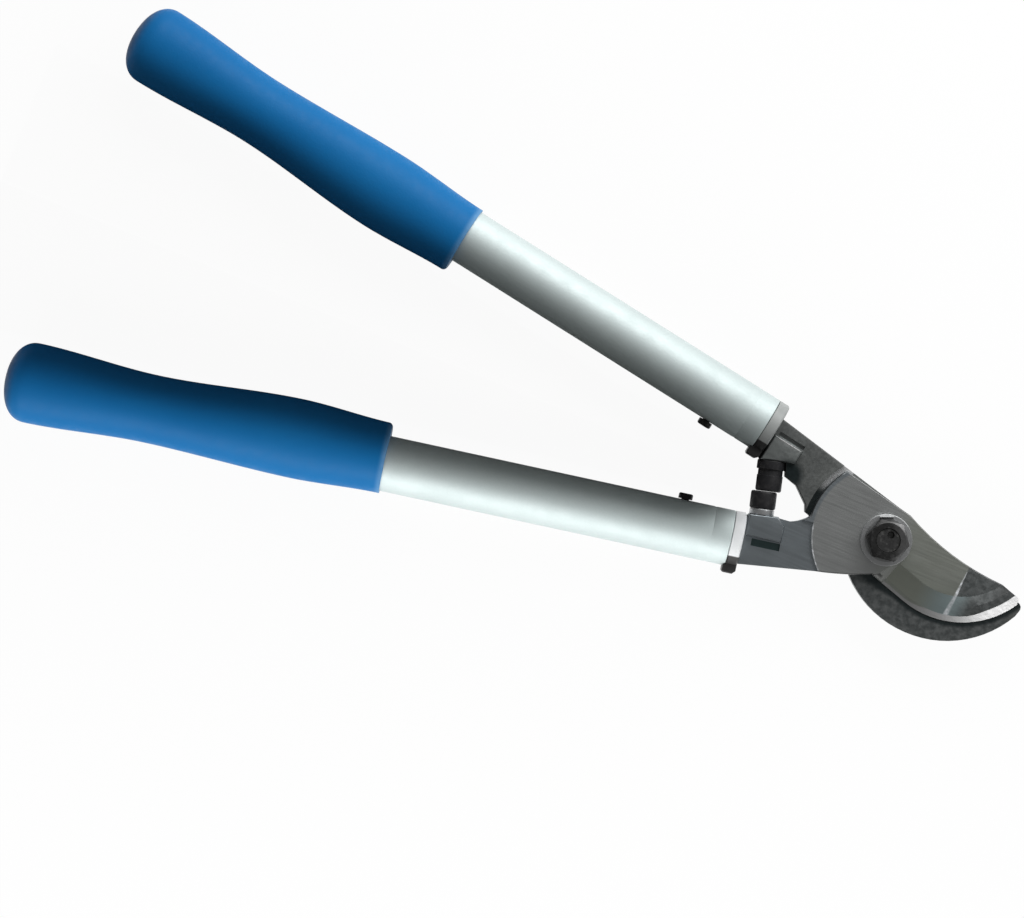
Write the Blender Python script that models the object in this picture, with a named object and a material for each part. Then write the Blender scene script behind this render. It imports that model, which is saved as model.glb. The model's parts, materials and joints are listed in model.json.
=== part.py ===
"""Bypass lopper with tubular handles, lying closed on its back.

Metres, +Z up. The head is drawn round the pivot: +X runs to the jaw's tip, +Y to the
hook's side, and height 0 is the cutting plane, where the blade slides over the hook.
The finished lopper stands with the middle of its box over the world origin.
"""
import math

import bmesh
import bpy
from mathutils import Vector

# Gap between two pieces that touch, and the facets of large and small round pieces
SEAT_GAP = 0.0003
ROUND_STEPS = 40
BUMPER_STEPS = 28
SMALL_STEPS = 20
ARC_STEP = 5.0
SHARP_DEGREES = 35.0

# Plates and tangs, by thickness; the tangs are centred on the tubes
BLADE_THICKNESS = 0.0048
HOOK_THICKNESS = 0.0073
TANG_THICKNESS = 0.0070
PLATE_CHAMFER = 0.0006

# Cutting edge: a straight heel that runs into a round belly, seen from above
EDGE_CENTRE = Vector((0.0340, 0.0192))
EDGE_RADIUS = 0.0462
EDGE_HEEL_DEGREES = -107.7
EDGE_TIP_DEGREES = -32.0
EDGE_STRAIGHT = 0.0210
EDGE_LAND = 0.0003
BEVEL_WIDTH = 0.0030
BEVEL_RISE = 0.0015
GRIND_WIDTH = 0.0130
GRIND_HOLLOW = 0.0005
GRIND_RUNOUT = 0.0070

# Rest of the blade's outline
BLADE_TIP = Vector((0.0730, -0.0020))
SPINE_START = Vector((0.0620, 0.0014))
SPINE_SAG = 0.0031
HEEL_SAG = 0.0007
BLADE_REAR_RADIUS = 0.0395
BLADE_REAR_START = 141.5
BLADE_REAR_END = 184.0
BLADE_REAR_SAG = 0.0008
BLADE_SHOULDER_RADIUS = 0.0373
BLADE_BACK_RADIUS = 0.0380
BLADE_BACK_START = 187.0
BLADE_SHOULDER_START = 188.5
BLADE_THROAT = Vector((-0.0476, -0.0094))
BLADE_TANG_FOOT = Vector((-0.0271, -0.0278))

# Hook's outline; the groove is the gap between the blade's rear and the hook's shoulder
JAW_OVERLAP = 0.0025
HOOK_INNER_START = -33.0
HOOK_INNER_END = -100.0
HOOK_OUTER_CENTRE = Vector((0.02785, 0.0139))
HOOK_OUTER_RADIUS = 0.0529
HOOK_OUTER_START = -139.9
HOOK_OUTER_END = -28.0
HOOK_TIP_RADIUS = 0.0030
HOOK_TIP_HEADING = -45.0
HOOK_TIP_START = -20.0
HOOK_TIP_END = 100.0
THROAT_SAG = 0.0050
HOOK_BOSS_RADIUS = 0.01735
HOOK_BOSS_START = -20.0
HOOK_BOSS_END = 67.3
REAR_GROOVE = 0.0030
HOOK_SHOULDER_RADIUS = BLADE_REAR_RADIUS + REAR_GROOVE
HOOK_BACK_RADIUS = 0.0400
HOOK_NECK = Vector((-0.0260, -0.0125))
HEEL_CLEARANCE = 0.0008
HOOK_NECK_RADIUS = BLADE_BACK_RADIUS - HEEL_CLEARANCE
HOOK_NECK_DEGREES = 186.0
HOOK_INNER_CORNER = Vector((-0.0426, -0.0022))
HOOK_GAP_RIGHT = Vector((-0.0440, 0.0012))
HOOK_GAP_TOP = Vector((-0.0517, 0.0083))
HOOK_WEB_HEIGHT = 0.0085
HOOK_WEB_CLEARANCE = 0.0008

# Handles: angle to the centre line, distance of the tube's axis from the pivot and
# distance along that axis to the tube's end, for the hook's handle and the blade's;
# the tube runs into the grip and stops short of its closed end
HANDLE_DEGREES = 10.0
UPPER_AXIS_OFFSET = 0.0170
LOWER_AXIS_OFFSET = 0.0154
UPPER_TUBE_START = 0.0815
LOWER_TUBE_START = 0.0760
TUBE_RADIUS = 0.0140
TUBE_WALL = 0.0015
TUBE_EDGE = 0.0004
TUBE_BARE_LENGTH = 0.1764
GRIP_LENGTH = 0.1944
GRIP_END_DEPTH = 0.0194
TUBE_IN_GRIP = GRIP_LENGTH - GRIP_END_DEPTH

# Tang inside the tube, and the sleeve that fills the tube round it
TANG_WIDTH = 0.0136
TANG_DEPTH = 0.0440
LOWER_TANG_EDGE = 0.0272
SLEEVE_DEPTH = 0.0480
FLANGE_LENGTH = 0.0055
FLANGE_EDGE = 0.0008
LUG_RISE = 0.0033
LUG_OVERLAP = 0.0012
LUG_WIDTH = 0.0120

# Screw through the tube wall into the tang's edge
SCREW_PLACE = 0.0260
SCREW_RADIUS = 0.0020
SCREW_HEAD_RADIUS = 0.0036
SCREW_HEAD_HEIGHT = 0.0029
SCREW_CROWN_RADIUS = 0.0027
SCREW_CROWN_HEIGHT = 0.0010
SCREW_BITE = 0.0050
SOCKET_RADIUS = 0.0017
SOCKET_DEPTH = 0.0018

# Bumpers: the point where they meet, the slant of their axes, the lower one's shift
# towards the handles, and their seats' bosses
BUMPER_MEET = Vector((-0.0634, 0.0003))
BUMPER_DEGREES = 105.0
BUMPER_RADIUS = 0.0065
BUMPER_EDGE = 0.0010
STUD_RADIUS = 0.0020
STUD_BITE = 0.0070
STUD_COVER = 0.0040
UPPER_PAD_HEIGHT = 0.0080
UPPER_STEM_RADIUS = 0.0062
UPPER_SEAT = 0.0155
LOWER_PAD_HEIGHT = 0.0090
LOWER_NECK_RADIUS = 0.0062
LOWER_SEAT = 0.0120
LOWER_BUMPER_SHIFT = 0.0018
BOSS_THICKNESS = 0.0130
BOSS_FACE = 0.0130
BOSS_CHAMFER = 0.0008
BOSS_STEP = 0.0005
HOLE_LEAD = 0.0020
UPPER_BOSS_FRONT = 0.0587
UPPER_BOSS_TOP = 0.0152
UPPER_BOSS_FOOT = 0.0075
LOWER_BOSS_FRONT = 0.0510
LOWER_BOSS_TOP = 0.0125
LOWER_BOSS_FOOT = 0.0040

# Grooves in the tangs' front faces, just outboard of the bosses
UPPER_GROOVE_WIDTH = 0.0020
LOWER_GROOVE_WIDTH = 0.0036
GROOVE_SIDE = 0.0007
GROOVE_LENGTH = 0.0145
GROOVE_DEPTH = 0.0018

# Pivot: bolt with a square neck, bush, washers and nut
BOLT_RADIUS = 0.0060
BOLT_HEAD_FLATS = 0.0190
BOLT_HEAD_HEIGHT = 0.00725
BOLT_FLANGE_RADIUS = 0.0130
BOLT_FLANGE_HEIGHT = 0.0020
BOLT_NECK_HALF = 0.0060
BOLT_NECK_LENGTH = 0.0050
BOLT_END_SINK = 0.0008
BOLT_DIMPLE_RADIUS = 0.0022
BUSH_WALL = 0.0016
THRUST_WASHER_RADIUS = 0.0130
THRUST_WASHER_HEIGHT = 0.0012
TAB_WASHER_RADIUS = 0.0108
TAB_WASHER_HEIGHT = 0.0010
TAB_WIDTH = 0.0070
TAB_REACH = 0.0018
TAB_RISE = 0.0026
TAB_DEGREES = 112.0
NUT_FLATS = 0.0190
NUT_HEIGHT = 0.0080
NUT_CHAMFER = 0.0009
HEXAGON_TURN = 8.0

# Grips: at stations along the grip from its front, half the width, half the height and
# how far the section is set off from the tube towards the other handle
GRIP_FRONT_HALF_WIDTH = 0.01785
GRIP_FRONT_HALF_HEIGHT = 0.0164
GRIP_FRONT_SHIFT = 0.00265
GRIP_BULGE_PLACE = 0.0460
GRIP_BULGE_HALF_WIDTH = 0.0200
GRIP_BULGE_HALF_HEIGHT = 0.0170
GRIP_BULGE_SHIFT = 0.0028
GRIP_WAIST_PLACE = 0.1200
GRIP_WAIST_HALF_WIDTH = 0.0172
GRIP_WAIST_HALF_HEIGHT = 0.0160
GRIP_WAIST_SHIFT = 0.0019
GRIP_FLARE_PLACE = 0.1810
GRIP_FLARE_HALF_WIDTH = 0.0203
GRIP_FLARE_HALF_HEIGHT = 0.0170
GRIP_FLARE_SHIFT = 0.0020
GRIP_LIP_LENGTH = 0.0018
GRIP_LIP_STEP = 0.0009
GRIP_SECTION_POWER = 2.25
GRIP_DOME_POWER = 2.2
GRIP_END_SCALE = 0.08
GRIP_STEPS = 32
GRIP_BODY_STEPS = 14
GRIP_DOME_STEPS = 6

# Plug in the tube's far end
PLUG_DEPTH = 0.0120
PLUG_HEAD = 0.0025

# Reach of a cutter past the solid that it cuts, and of a region with no far side
CLEAR = 0.0200
BEYOND = 0.2400

# Heights of the plates' faces
BLADE_BACK = SEAT_GAP / 2
BLADE_FRONT = BLADE_BACK + BLADE_THICKNESS
HOOK_FRONT = -SEAT_GAP / 2
HOOK_BACK = HOOK_FRONT - HOOK_THICKNESS
TANG_FRONT = TANG_THICKNESS / 2
TANG_BACK = -TANG_THICKNESS / 2
TUBE_BORE = TUBE_RADIUS - TUBE_WALL
TUBE_LENGTH = TUBE_BARE_LENGTH + TUBE_IN_GRIP
SHOULDER_SETBACK = FLANGE_LENGTH + 2 * SEAT_GAP


def clear_scene():
    for thing in list(bpy.data.objects):
        bpy.data.objects.remove(thing, do_unlink=True)


def finish(name, colour, roughness, metallic):
    """A plain Principled material."""
    material = bpy.data.materials.new(name)
    material.use_nodes = True
    shader = material.node_tree.nodes["Principled BSDF"]
    shader.inputs["Base Color"].default_value = (*colour, 1.0)
    shader.inputs["Roughness"].default_value = roughness
    shader.inputs["Metallic"].default_value = metallic
    material.diffuse_color = (*colour, 1.0)
    return material


def empty(name, parent, location=(0.0, 0.0, 0.0), heading=0.0):
    guide = bpy.data.objects.new(name, None)
    bpy.context.scene.collection.objects.link(guide)
    guide.parent = parent
    guide.location = location
    guide.rotation_euler = (0.0, 0.0, math.radians(heading))
    return guide


def add_object(name, shape, material, parent):
    """Turn a bmesh into a named object with its faces pointing out."""
    bmesh.ops.recalc_face_normals(shape, faces=shape.faces)
    mesh = bpy.data.meshes.new(name)
    shape.to_mesh(mesh)
    shape.free()
    mesh.shade_smooth()
    mesh.set_sharp_from_angle(angle=math.radians(SHARP_DEGREES))
    if material is not None:
        mesh.materials.append(material)
    thing = bpy.data.objects.new(name, mesh)
    bpy.context.scene.collection.objects.link(thing)
    thing.parent = parent
    return thing


def as_tool(thing):
    """Hide an object that only cuts or builds up another."""
    thing.hide_render = True
    thing.display_type = "WIRE"
    return thing


def combine(target, tool, operation):
    boolean = target.modifiers.new(tool.name, "BOOLEAN")
    boolean.operation = operation
    boolean.object = as_tool(tool)
    return target


def cut(target, tool):
    return combine(target, tool, "DIFFERENCE")


def weld(target, tool):
    return combine(target, tool, "UNION")


def corners(*places):
    return [Vector(place) for place in places]


def square_of(half):
    return corners((-half, -half), (half, -half), (half, half), (-half, half))


def polar(radius, degrees, centre=Vector((0.0, 0.0))):
    angle = math.radians(degrees)
    return centre + radius * Vector((math.cos(angle), math.sin(angle)))


def arc(radius, start, end, centre=Vector((0.0, 0.0)), step=ARC_STEP):
    """Points along an arc, both ends included."""
    count = max(2, math.ceil(abs(end - start) / step))
    return [polar(radius, start + (end - start) * i / count, centre) for i in range(count + 1)]


def bowed(first, last, sag, count=8):
    """Points of the arc from first to last that bows out by sag to the left of the way."""
    chord = last - first
    half = chord.length / 2
    radius = (half * half + sag * sag) / (2 * sag)
    left = Vector((-chord.y, chord.x)).normalized()
    centre = (first + last) / 2 + left * (sag - radius)
    begin = math.atan2(first.y - centre.y, first.x - centre.x)
    sweep = 2 * math.asin(min(1.0, half / abs(radius)))
    turn = -math.copysign(sweep, radius)
    angles = [math.degrees(begin + turn * i / count) for i in range(count + 1)]
    return [polar(abs(radius), angle, centre) for angle in angles]


def plate(name, outline, low, high, material, parent, chamfer_low=0.0, chamfer_high=0.0):
    """An outline raised from low to high, with its two rims chamfered."""
    shape = bmesh.new()
    corners = [shape.verts.new((point.x, point.y, low + chamfer_low)) for point in outline]
    floor = shape.faces.new(corners)
    raised = bmesh.ops.extrude_face_region(shape, geom=[floor], use_keep_orig=True)
    roof = next(item for item in raised["geom"] if isinstance(item, bmesh.types.BMFace))
    bmesh.ops.translate(shape, verts=roof.verts, vec=(0.0, 0.0, high - chamfer_high - low - chamfer_low))
    bmesh.ops.recalc_face_normals(shape, faces=shape.faces)
    for face, chamfer in ((floor, chamfer_low), (roof, chamfer_high)):
        if chamfer > 0.0:
            bmesh.ops.inset_region(
                shape, faces=[face], thickness=chamfer, depth=chamfer, use_even_offset=True
            )
    return add_object(name, shape, material, parent)


def turned(name, profile, material, parent, steps=ROUND_STEPS, ring=False):
    """A profile of (radius, height) points turned about Z; a ring's profile is closed."""
    shape = bmesh.new()
    points = [shape.verts.new((radius, 0.0, height)) for radius, height in profile]
    followers = points[1:] + points[:1] if ring else points[1:]
    edges = [shape.edges.new(pair) for pair in zip(points, followers)]
    bmesh.ops.spin(
        shape, geom=points + edges, axis=(0.0, 0.0, 1.0), cent=(0.0, 0.0, 0.0),
        angle=math.tau, steps=steps, use_merge=True,
    )
    bmesh.ops.remove_doubles(shape, verts=shape.verts, dist=1e-6)
    return add_object(name, shape, material, parent)


def rod(name, radius, low, high, material, parent, steps=SMALL_STEPS):
    return turned(name, [(0.0, low), (radius, low), (radius, high), (0.0, high)], material, parent, steps)


def lofted(name, rings, material, parent):
    """A solid skinned over rings of equal count, closed at both ends."""
    shape = bmesh.new()
    loops = [[shape.verts.new(point) for point in ring] for ring in rings]
    count = len(loops[0])
    for near, far in zip(loops, loops[1:]):
        for i in range(count):
            j = (i + 1) % count
            shape.faces.new((near[i], near[j], far[j], far[i]))
    shape.faces.new(loops[0])
    shape.faces.new(loops[-1])
    return add_object(name, shape, material, parent)


def lay_along(thing, heading=0.0, location=(0.0, 0.0, 0.0)):
    """Lay a turned piece down, so that its axis points along heading."""
    thing.rotation_euler = (0.0, math.pi / 2, math.radians(heading))
    thing.location = location
    return thing


def hexagon(flats):
    """A hexagon's corners, by its width across flats."""
    return [polar(flats / math.sqrt(3), 60.0 * i + HEXAGON_TURN) for i in range(6)]


class Handle:
    """Where one handle lies: along counts from the pivot's foot, off away from the centre line."""

    def __init__(self, side, axis_offset, tube_start):
        self.side = side
        self.heading = 180.0 - side * HANDLE_DEGREES
        self.axis_offset = axis_offset
        self.tube_start = tube_start
        self.shoulder = tube_start - SHOULDER_SETBACK
        angle = math.radians(HANDLE_DEGREES)
        self.away = Vector((-math.cos(angle), side * math.sin(angle)))
        self.out = Vector((math.sin(angle), side * math.cos(angle)))

    def point(self, along, off):
        return along * self.away + off * self.out

    def tang_in_tube(self):
        """The tang's two sides in the tube and its end, as distances."""
        half = TANG_WIDTH / 2
        return self.axis_offset - half, self.axis_offset + half, self.tube_start + TANG_DEPTH


UPPER = Handle(1, UPPER_AXIS_OFFSET, UPPER_TUBE_START)
LOWER = Handle(-1, LOWER_AXIS_OFFSET, LOWER_TUBE_START)


def bumper_point(along, across=0.0):
    """A point by the bumpers' axis: along is positive towards the hook's boss."""
    axis = polar(1.0, BUMPER_DEGREES)
    return BUMPER_MEET + along * axis + across * Vector((axis.y, -axis.x))


def bumper_seat(handle, along):
    """A point on the axis of the handle's own bumper."""
    shift = 0.0 if handle.side > 0 else LOWER_BUMPER_SHIFT
    return bumper_point(along * handle.side, -shift).to_3d()


def head_zone(radius, start=90.0):
    """Everything on the jaws' side of an arc about the pivot that begins at start degrees."""
    far = corners((0.0, -BEYOND), (BEYOND, -BEYOND), (BEYOND, BEYOND))
    far += corners((-BEYOND, BEYOND)) if start > 135.0 else []
    return arc(radius, start, 270.0) + far + [polar(BEYOND, start)]


def tang_zone(radius, start=90.0):
    """Everything on the handles' side of the same arc."""
    far = [] if start > 135.0 else corners((-BEYOND, BEYOND))
    far += corners((-BEYOND, -BEYOND), (0.0, -BEYOND))
    return [polar(BEYOND, start)] + far + arc(radius, 270.0, start)


def kink():
    """The point where the hook's straight back ends and the blade's spine begins."""
    return polar(HOOK_BOSS_RADIUS, HOOK_BOSS_END)


def edge_path():
    """The cutting edge from heel to tip, as (point, direction into the blade)."""
    into = -polar(1.0, EDGE_HEEL_DEGREES)
    tangent = Vector((-into.y, into.x))
    foot = polar(EDGE_RADIUS, EDGE_HEEL_DEGREES, EDGE_CENTRE)
    straight = [foot + tangent * distance for distance in (EDGE_STRAIGHT, EDGE_STRAIGHT - GRIND_RUNOUT)]
    belly = arc(EDGE_RADIUS, EDGE_HEEL_DEGREES, EDGE_TIP_DEGREES, EDGE_CENTRE)
    return [(point, into) for point in straight] + [
        (point, (EDGE_CENTRE - point).normalized()) for point in belly
    ]


def boss_face(handle, seat, back):
    """The ends of a boss's face across the bumpers' axis: at its back, and at the jaws' end."""
    middle = bumper_point(seat * handle.side)
    across = bumper_point(seat * handle.side, 1.0) - middle
    reach = (back - middle.dot(handle.away)) / across.dot(handle.away)
    return middle + across * reach, middle + across * BOSS_FACE / 2


def blade_outline():
    heel = edge_path()[0][0]
    inner, outer, end = LOWER.tang_in_tube()
    near_handle, near_jaw = boss_face(LOWER, LOWER_SEAT + BOSS_STEP, LOWER.shoulder)
    rear = arc(BLADE_REAR_RADIUS, BLADE_REAR_START, BLADE_REAR_END)
    outline = [LOWER.point(end, outer), LOWER.point(LOWER.shoulder, outer)]
    outline += [LOWER.point(LOWER.shoulder, LOWER_TANG_EDGE)]
    outline += bowed(BLADE_TANG_FOOT, heel, -HEEL_SAG)
    outline += [point for point, into in edge_path()[1:]]
    outline += [BLADE_TIP]
    outline += bowed(SPINE_START, kink(), SPINE_SAG)
    outline += rear
    outline += bowed(rear[-1], BLADE_THROAT, BLADE_REAR_SAG)[1:]
    outline += [near_jaw, near_handle, LOWER.point(LOWER.shoulder, inner)]
    outline += [LOWER.point(end, inner)]
    return outline


def hook_outline():
    inner, outer, end = UPPER.tang_in_tube()
    near_handle, near_jaw = boss_face(UPPER, UPPER_SEAT + BOSS_STEP, UPPER.shoulder)
    inner_edge = arc(EDGE_RADIUS - JAW_OVERLAP, HOOK_INNER_START, HOOK_INNER_END, EDGE_CENTRE)
    outer_edge = arc(HOOK_OUTER_RADIUS, HOOK_OUTER_START, HOOK_OUTER_END, HOOK_OUTER_CENTRE)
    tip_centre = polar(HOOK_TIP_RADIUS, HOOK_TIP_HEADING, inner_edge[0])
    boss = arc(HOOK_BOSS_RADIUS, HOOK_BOSS_START, HOOK_BOSS_END)
    outline = [UPPER.point(end, inner), UPPER.point(UPPER.shoulder, inner)]
    outline += [near_handle, near_jaw]
    web = bumper_point(HOOK_WEB_HEIGHT, BUMPER_RADIUS + HOOK_WEB_CLEARANCE)
    outline += [web, HOOK_GAP_TOP, HOOK_GAP_RIGHT, HOOK_INNER_CORNER]
    outline += [polar(HOOK_NECK_RADIUS, HOOK_NECK_DEGREES), HOOK_NECK]
    outline += outer_edge
    outline += arc(HOOK_TIP_RADIUS, HOOK_TIP_START, HOOK_TIP_END, tip_centre, step=ARC_STEP * 5)
    outline += inner_edge
    outline += bowed(inner_edge[-1], boss[0], THROAT_SAG)[1:-1]
    outline += boss
    outline += [UPPER.point(UPPER.shoulder, outer), UPPER.point(end, outer)]
    return outline


def boss_outline(handle, seat, front, foot, top):
    back = handle.shoulder - BOSS_STEP
    near_handle, near_jaw = boss_face(handle, seat, back)
    outline = [near_handle, near_jaw, handle.point(front, foot), handle.point(front, top)]
    return outline + [handle.point(back, top)]


def groove_outline(handle, front, top, width):
    low = top + GROOVE_SIDE
    back = front + GROOVE_LENGTH
    places = ((front, low), (back, low), (back, low + width), (front, low + width))
    return [handle.point(along, off) for along, off in places]


def fit_tang(tang, handle, seat, front, foot, top, groove_width, parent):
    """Build a boss on a tang and make the groove, the bumper's hole and the screw's hole."""
    name = tang.name
    half = BOSS_THICKNESS / 2
    boss = plate(
        name + "_boss", boss_outline(handle, seat, front, foot, top), -half, half, None, parent,
        BOSS_CHAMFER, BOSS_CHAMFER,
    )
    weld(tang, boss)
    groove = groove_outline(handle, front, top, groove_width)
    cut(tang, plate(name + "_groove", groove, TANG_FRONT - GROOVE_DEPTH, CLEAR, None, parent))
    radius, depth = STUD_RADIUS + SEAT_GAP, STUD_BITE + SEAT_GAP
    stud_hole = rod(name + "_stud_hole", radius, -HOLE_LEAD, depth, None, parent)
    heading = BUMPER_DEGREES if handle.side > 0 else BUMPER_DEGREES + 180.0
    cut(tang, lay_along(stud_hole, heading, bumper_seat(handle, seat)))
    inner, outer, end = handle.tang_in_tube()
    radius, depth = SCREW_RADIUS + SEAT_GAP, SCREW_BITE + SEAT_GAP
    screw_hole = rod(name + "_screw_hole", radius, -CLEAR, depth, None, parent)
    place = handle.point(handle.tube_start + SCREW_PLACE, inner)
    heading = math.degrees(math.atan2(handle.out.y, handle.out.x))
    cut(tang, lay_along(screw_hole, heading, place.to_3d()))


def make_blade(material, parent):
    blade = plate(
        "blade", blade_outline(), TANG_BACK, BLADE_FRONT, material, parent, PLATE_CHAMFER, PLATE_CHAMFER
    )
    under = head_zone(BLADE_BACK_RADIUS, BLADE_BACK_START)
    cut(blade, plate("blade_plane", under, -CLEAR, BLADE_BACK, None, parent))
    step = tang_zone(BLADE_SHOULDER_RADIUS, BLADE_SHOULDER_START)
    cut(blade, plate("blade_step", step, TANG_FRONT, CLEAR, None, parent))
    cut(blade, grind_tool(parent))
    bore = BOLT_RADIUS + BUSH_WALL + 2 * SEAT_GAP
    cut(blade, rod("blade_bore", bore, -CLEAR, CLEAR, None, parent, ROUND_STEPS))
    fit_tang(
        blade, LOWER, LOWER_SEAT, LOWER_BOSS_FRONT, LOWER_BOSS_FOOT, LOWER_BOSS_TOP,
        LOWER_GROOVE_WIDTH, parent,
    )
    return blade


def grind_tool(parent):
    """The wheel's path along the edge: a bright bevel below a hollow grind, faded in at the heel."""
    land = BLADE_BACK + EDGE_LAND
    knee = land + BEVEL_RISE
    middle = (BEVEL_WIDTH + GRIND_WIDTH) / 2
    hollow = (knee + BLADE_FRONT) / 2 - GRIND_HOLLOW
    section = [(-CLEAR / 2, land), (0.0, land), (BEVEL_WIDTH, knee), (middle, hollow)]
    section += [(GRIND_WIDTH, BLADE_FRONT), (GRIND_WIDTH, BLADE_FRONT + CLEAR)]
    section += [(-CLEAR / 2, BLADE_FRONT + CLEAR)]
    path = edge_path()
    last, into = path[-1]
    path.append((last + Vector((into.y, -into.x)) * CLEAR, into))
    rings = []
    for i, (point, into) in enumerate(path):
        lift = BLADE_THICKNESS if i == 0 else 0.0
        rings.append([(*(point + into * depth), height + lift) for depth, height in section])
    return lofted("blade_grind", rings, None, parent)


def make_hook(material, parent):
    hook = plate(
        "hook", hook_outline(), HOOK_BACK, TANG_FRONT, material, parent, PLATE_CHAMFER, PLATE_CHAMFER
    )
    cut(hook, plate("hook_plane", head_zone(HOOK_SHOULDER_RADIUS), HOOK_FRONT, CLEAR, None, parent))
    cut(hook, plate("hook_step", tang_zone(HOOK_BACK_RADIUS), -CLEAR, TANG_BACK, None, parent))
    square = square_of(BOLT_NECK_HALF + SEAT_GAP)
    cut(hook, plate("hook_square_hole", square, -CLEAR, CLEAR, None, parent))
    fit_tang(
        hook, UPPER, UPPER_SEAT, UPPER_BOSS_FRONT, UPPER_BOSS_FOOT, UPPER_BOSS_TOP,
        UPPER_GROOVE_WIDTH, parent,
    )
    return hook


def make_bumpers(rubber, steel, hook_side, blade_side):
    """Two rubber bumpers, each on a stud set in its tang's boss."""
    tip = SEAT_GAP / 2
    bore = STUD_RADIUS + SEAT_GAP

    edge = BUMPER_RADIUS - BUMPER_EDGE

    def pad(height):
        front = [(0.0, tip), (edge, tip), (BUMPER_RADIUS, tip + BUMPER_EDGE)]
        return front + [(BUMPER_RADIUS, height - BUMPER_EDGE), (edge, height)]

    stem_top = UPPER_SEAT - SEAT_GAP
    profile = pad(UPPER_PAD_HEIGHT)
    profile += [(UPPER_STEM_RADIUS, UPPER_PAD_HEIGHT), (UPPER_STEM_RADIUS, stem_top), (bore, stem_top)]
    profile += [(bore, STUD_COVER), (0.0, STUD_COVER)]
    bumper = turned("upper_bumper", profile, rubber, hook_side, BUMPER_STEPS)
    lay_along(bumper, BUMPER_DEGREES, bumper_seat(UPPER, 0.0))
    start = STUD_COVER + SEAT_GAP
    stud = rod("upper_bumper_stud", STUD_RADIUS, start, UPPER_SEAT + STUD_BITE, steel, hook_side)
    lay_along(stud, BUMPER_DEGREES, bumper_seat(UPPER, 0.0))

    profile = pad(LOWER_PAD_HEIGHT) + [(bore, LOWER_PAD_HEIGHT), (bore, STUD_COVER), (0.0, STUD_COVER)]
    bumper = turned("lower_bumper", profile, rubber, blade_side, BUMPER_STEPS)
    lay_along(bumper, BUMPER_DEGREES + 180.0, bumper_seat(LOWER, 0.0))
    neck = (LOWER_PAD_HEIGHT + SEAT_GAP, LOWER_SEAT - SEAT_GAP)
    profile = [(0.0, start), (STUD_RADIUS, start), (STUD_RADIUS, neck[0])]
    profile += [(LOWER_NECK_RADIUS, neck[0]), (LOWER_NECK_RADIUS, neck[1]), (STUD_RADIUS, neck[1])]
    profile += [(STUD_RADIUS, LOWER_SEAT + STUD_BITE), (0.0, LOWER_SEAT + STUD_BITE)]
    stud = turned("lower_bumper_stud", profile, steel, blade_side, SMALL_STEPS)
    lay_along(stud, BUMPER_DEGREES + 180.0, bumper_seat(LOWER, 0.0))


def make_pivot(steel, dark, bronze, hook_side, blade_side):
    """The bolt, keyed in the hook, with the bush that the blade turns on."""
    flange_top = HOOK_BACK - SEAT_GAP
    head_top = flange_top - BOLT_FLANGE_HEIGHT
    washer = BLADE_FRONT + SEAT_GAP
    washer_top = washer + THRUST_WASHER_HEIGHT
    tab = washer_top + SEAT_GAP
    tab_top = tab + TAB_WASHER_HEIGHT
    nut = tab_top + SEAT_GAP
    bolt_end = nut + NUT_HEIGHT - BOLT_END_SINK
    hole = BOLT_RADIUS + SEAT_GAP

    profile = [(0.0, head_top - SEAT_GAP), (BOLT_FLANGE_RADIUS, head_top), (BOLT_FLANGE_RADIUS, flange_top)]
    profile += [(BOLT_RADIUS, flange_top), (BOLT_RADIUS, bolt_end), (BOLT_DIMPLE_RADIUS, bolt_end)]
    profile += [(0.0, bolt_end - BOLT_DIMPLE_RADIUS)]
    bolt = turned("pivot_bolt", profile, dark, hook_side)
    head = plate(
        "bolt_head", hexagon(BOLT_HEAD_FLATS), head_top - BOLT_HEAD_HEIGHT, head_top + SEAT_GAP, None,
        hook_side, NUT_CHAMFER,
    )
    weld(bolt, head)
    neck_low = flange_top - BOLT_FLANGE_HEIGHT / 2
    neck_top = flange_top + BOLT_NECK_LENGTH
    weld(bolt, plate("bolt_neck", square_of(BOLT_NECK_HALF), neck_low, neck_top, None, hook_side))

    bush = hole + BUSH_WALL
    ring_of("pivot_bush", hole, bush, BLADE_BACK, BLADE_FRONT, bronze, blade_side)
    ring_of("thrust_washer", hole, THRUST_WASHER_RADIUS, washer, washer_top, steel, hook_side)
    tab_washer = ring_of("tab_washer", hole, TAB_WASHER_RADIUS, tab, tab_top, steel, hook_side)
    weld(tab_washer, tab_tongue(tab, tab_top, hook_side))

    shape = plate("pivot_nut", hexagon(NUT_FLATS), nut, nut + NUT_HEIGHT, dark, hook_side, 0.0, NUT_CHAMFER)
    cut(shape, rod("nut_thread", hole, -CLEAR, CLEAR * 2, None, hook_side, ROUND_STEPS))


def ring_of(name, inner, outer, low, high, material, parent):
    profile = [(inner, low), (outer, low), (outer, high), (inner, high)]
    return turned(name, profile, material, parent, ROUND_STEPS, ring=True)


def tab_tongue(low, high, parent):
    """The lock tab, bent up beside the nut: a profile raised across the washer's width."""
    root = TAB_WASHER_RADIUS - TAB_WASHER_HEIGHT
    rim = TAB_WASHER_RADIUS
    tip = TAB_WASHER_RADIUS + TAB_REACH
    thick = TAB_WASHER_HEIGHT
    section = [(root, low), (rim + thick, low), (tip, low + TAB_RISE), (tip - thick, low + TAB_RISE + thick)]
    section += [(rim, high), (root, high)]
    tongue = lofted(
        "lock_tab",
        [[(radius, side * TAB_WIDTH / 2, height) for radius, height in section] for side in (-1, 1)],
        None, parent,
    )
    tongue.rotation_euler = (0.0, 0.0, math.radians(TAB_DEGREES))
    return tongue


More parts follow.
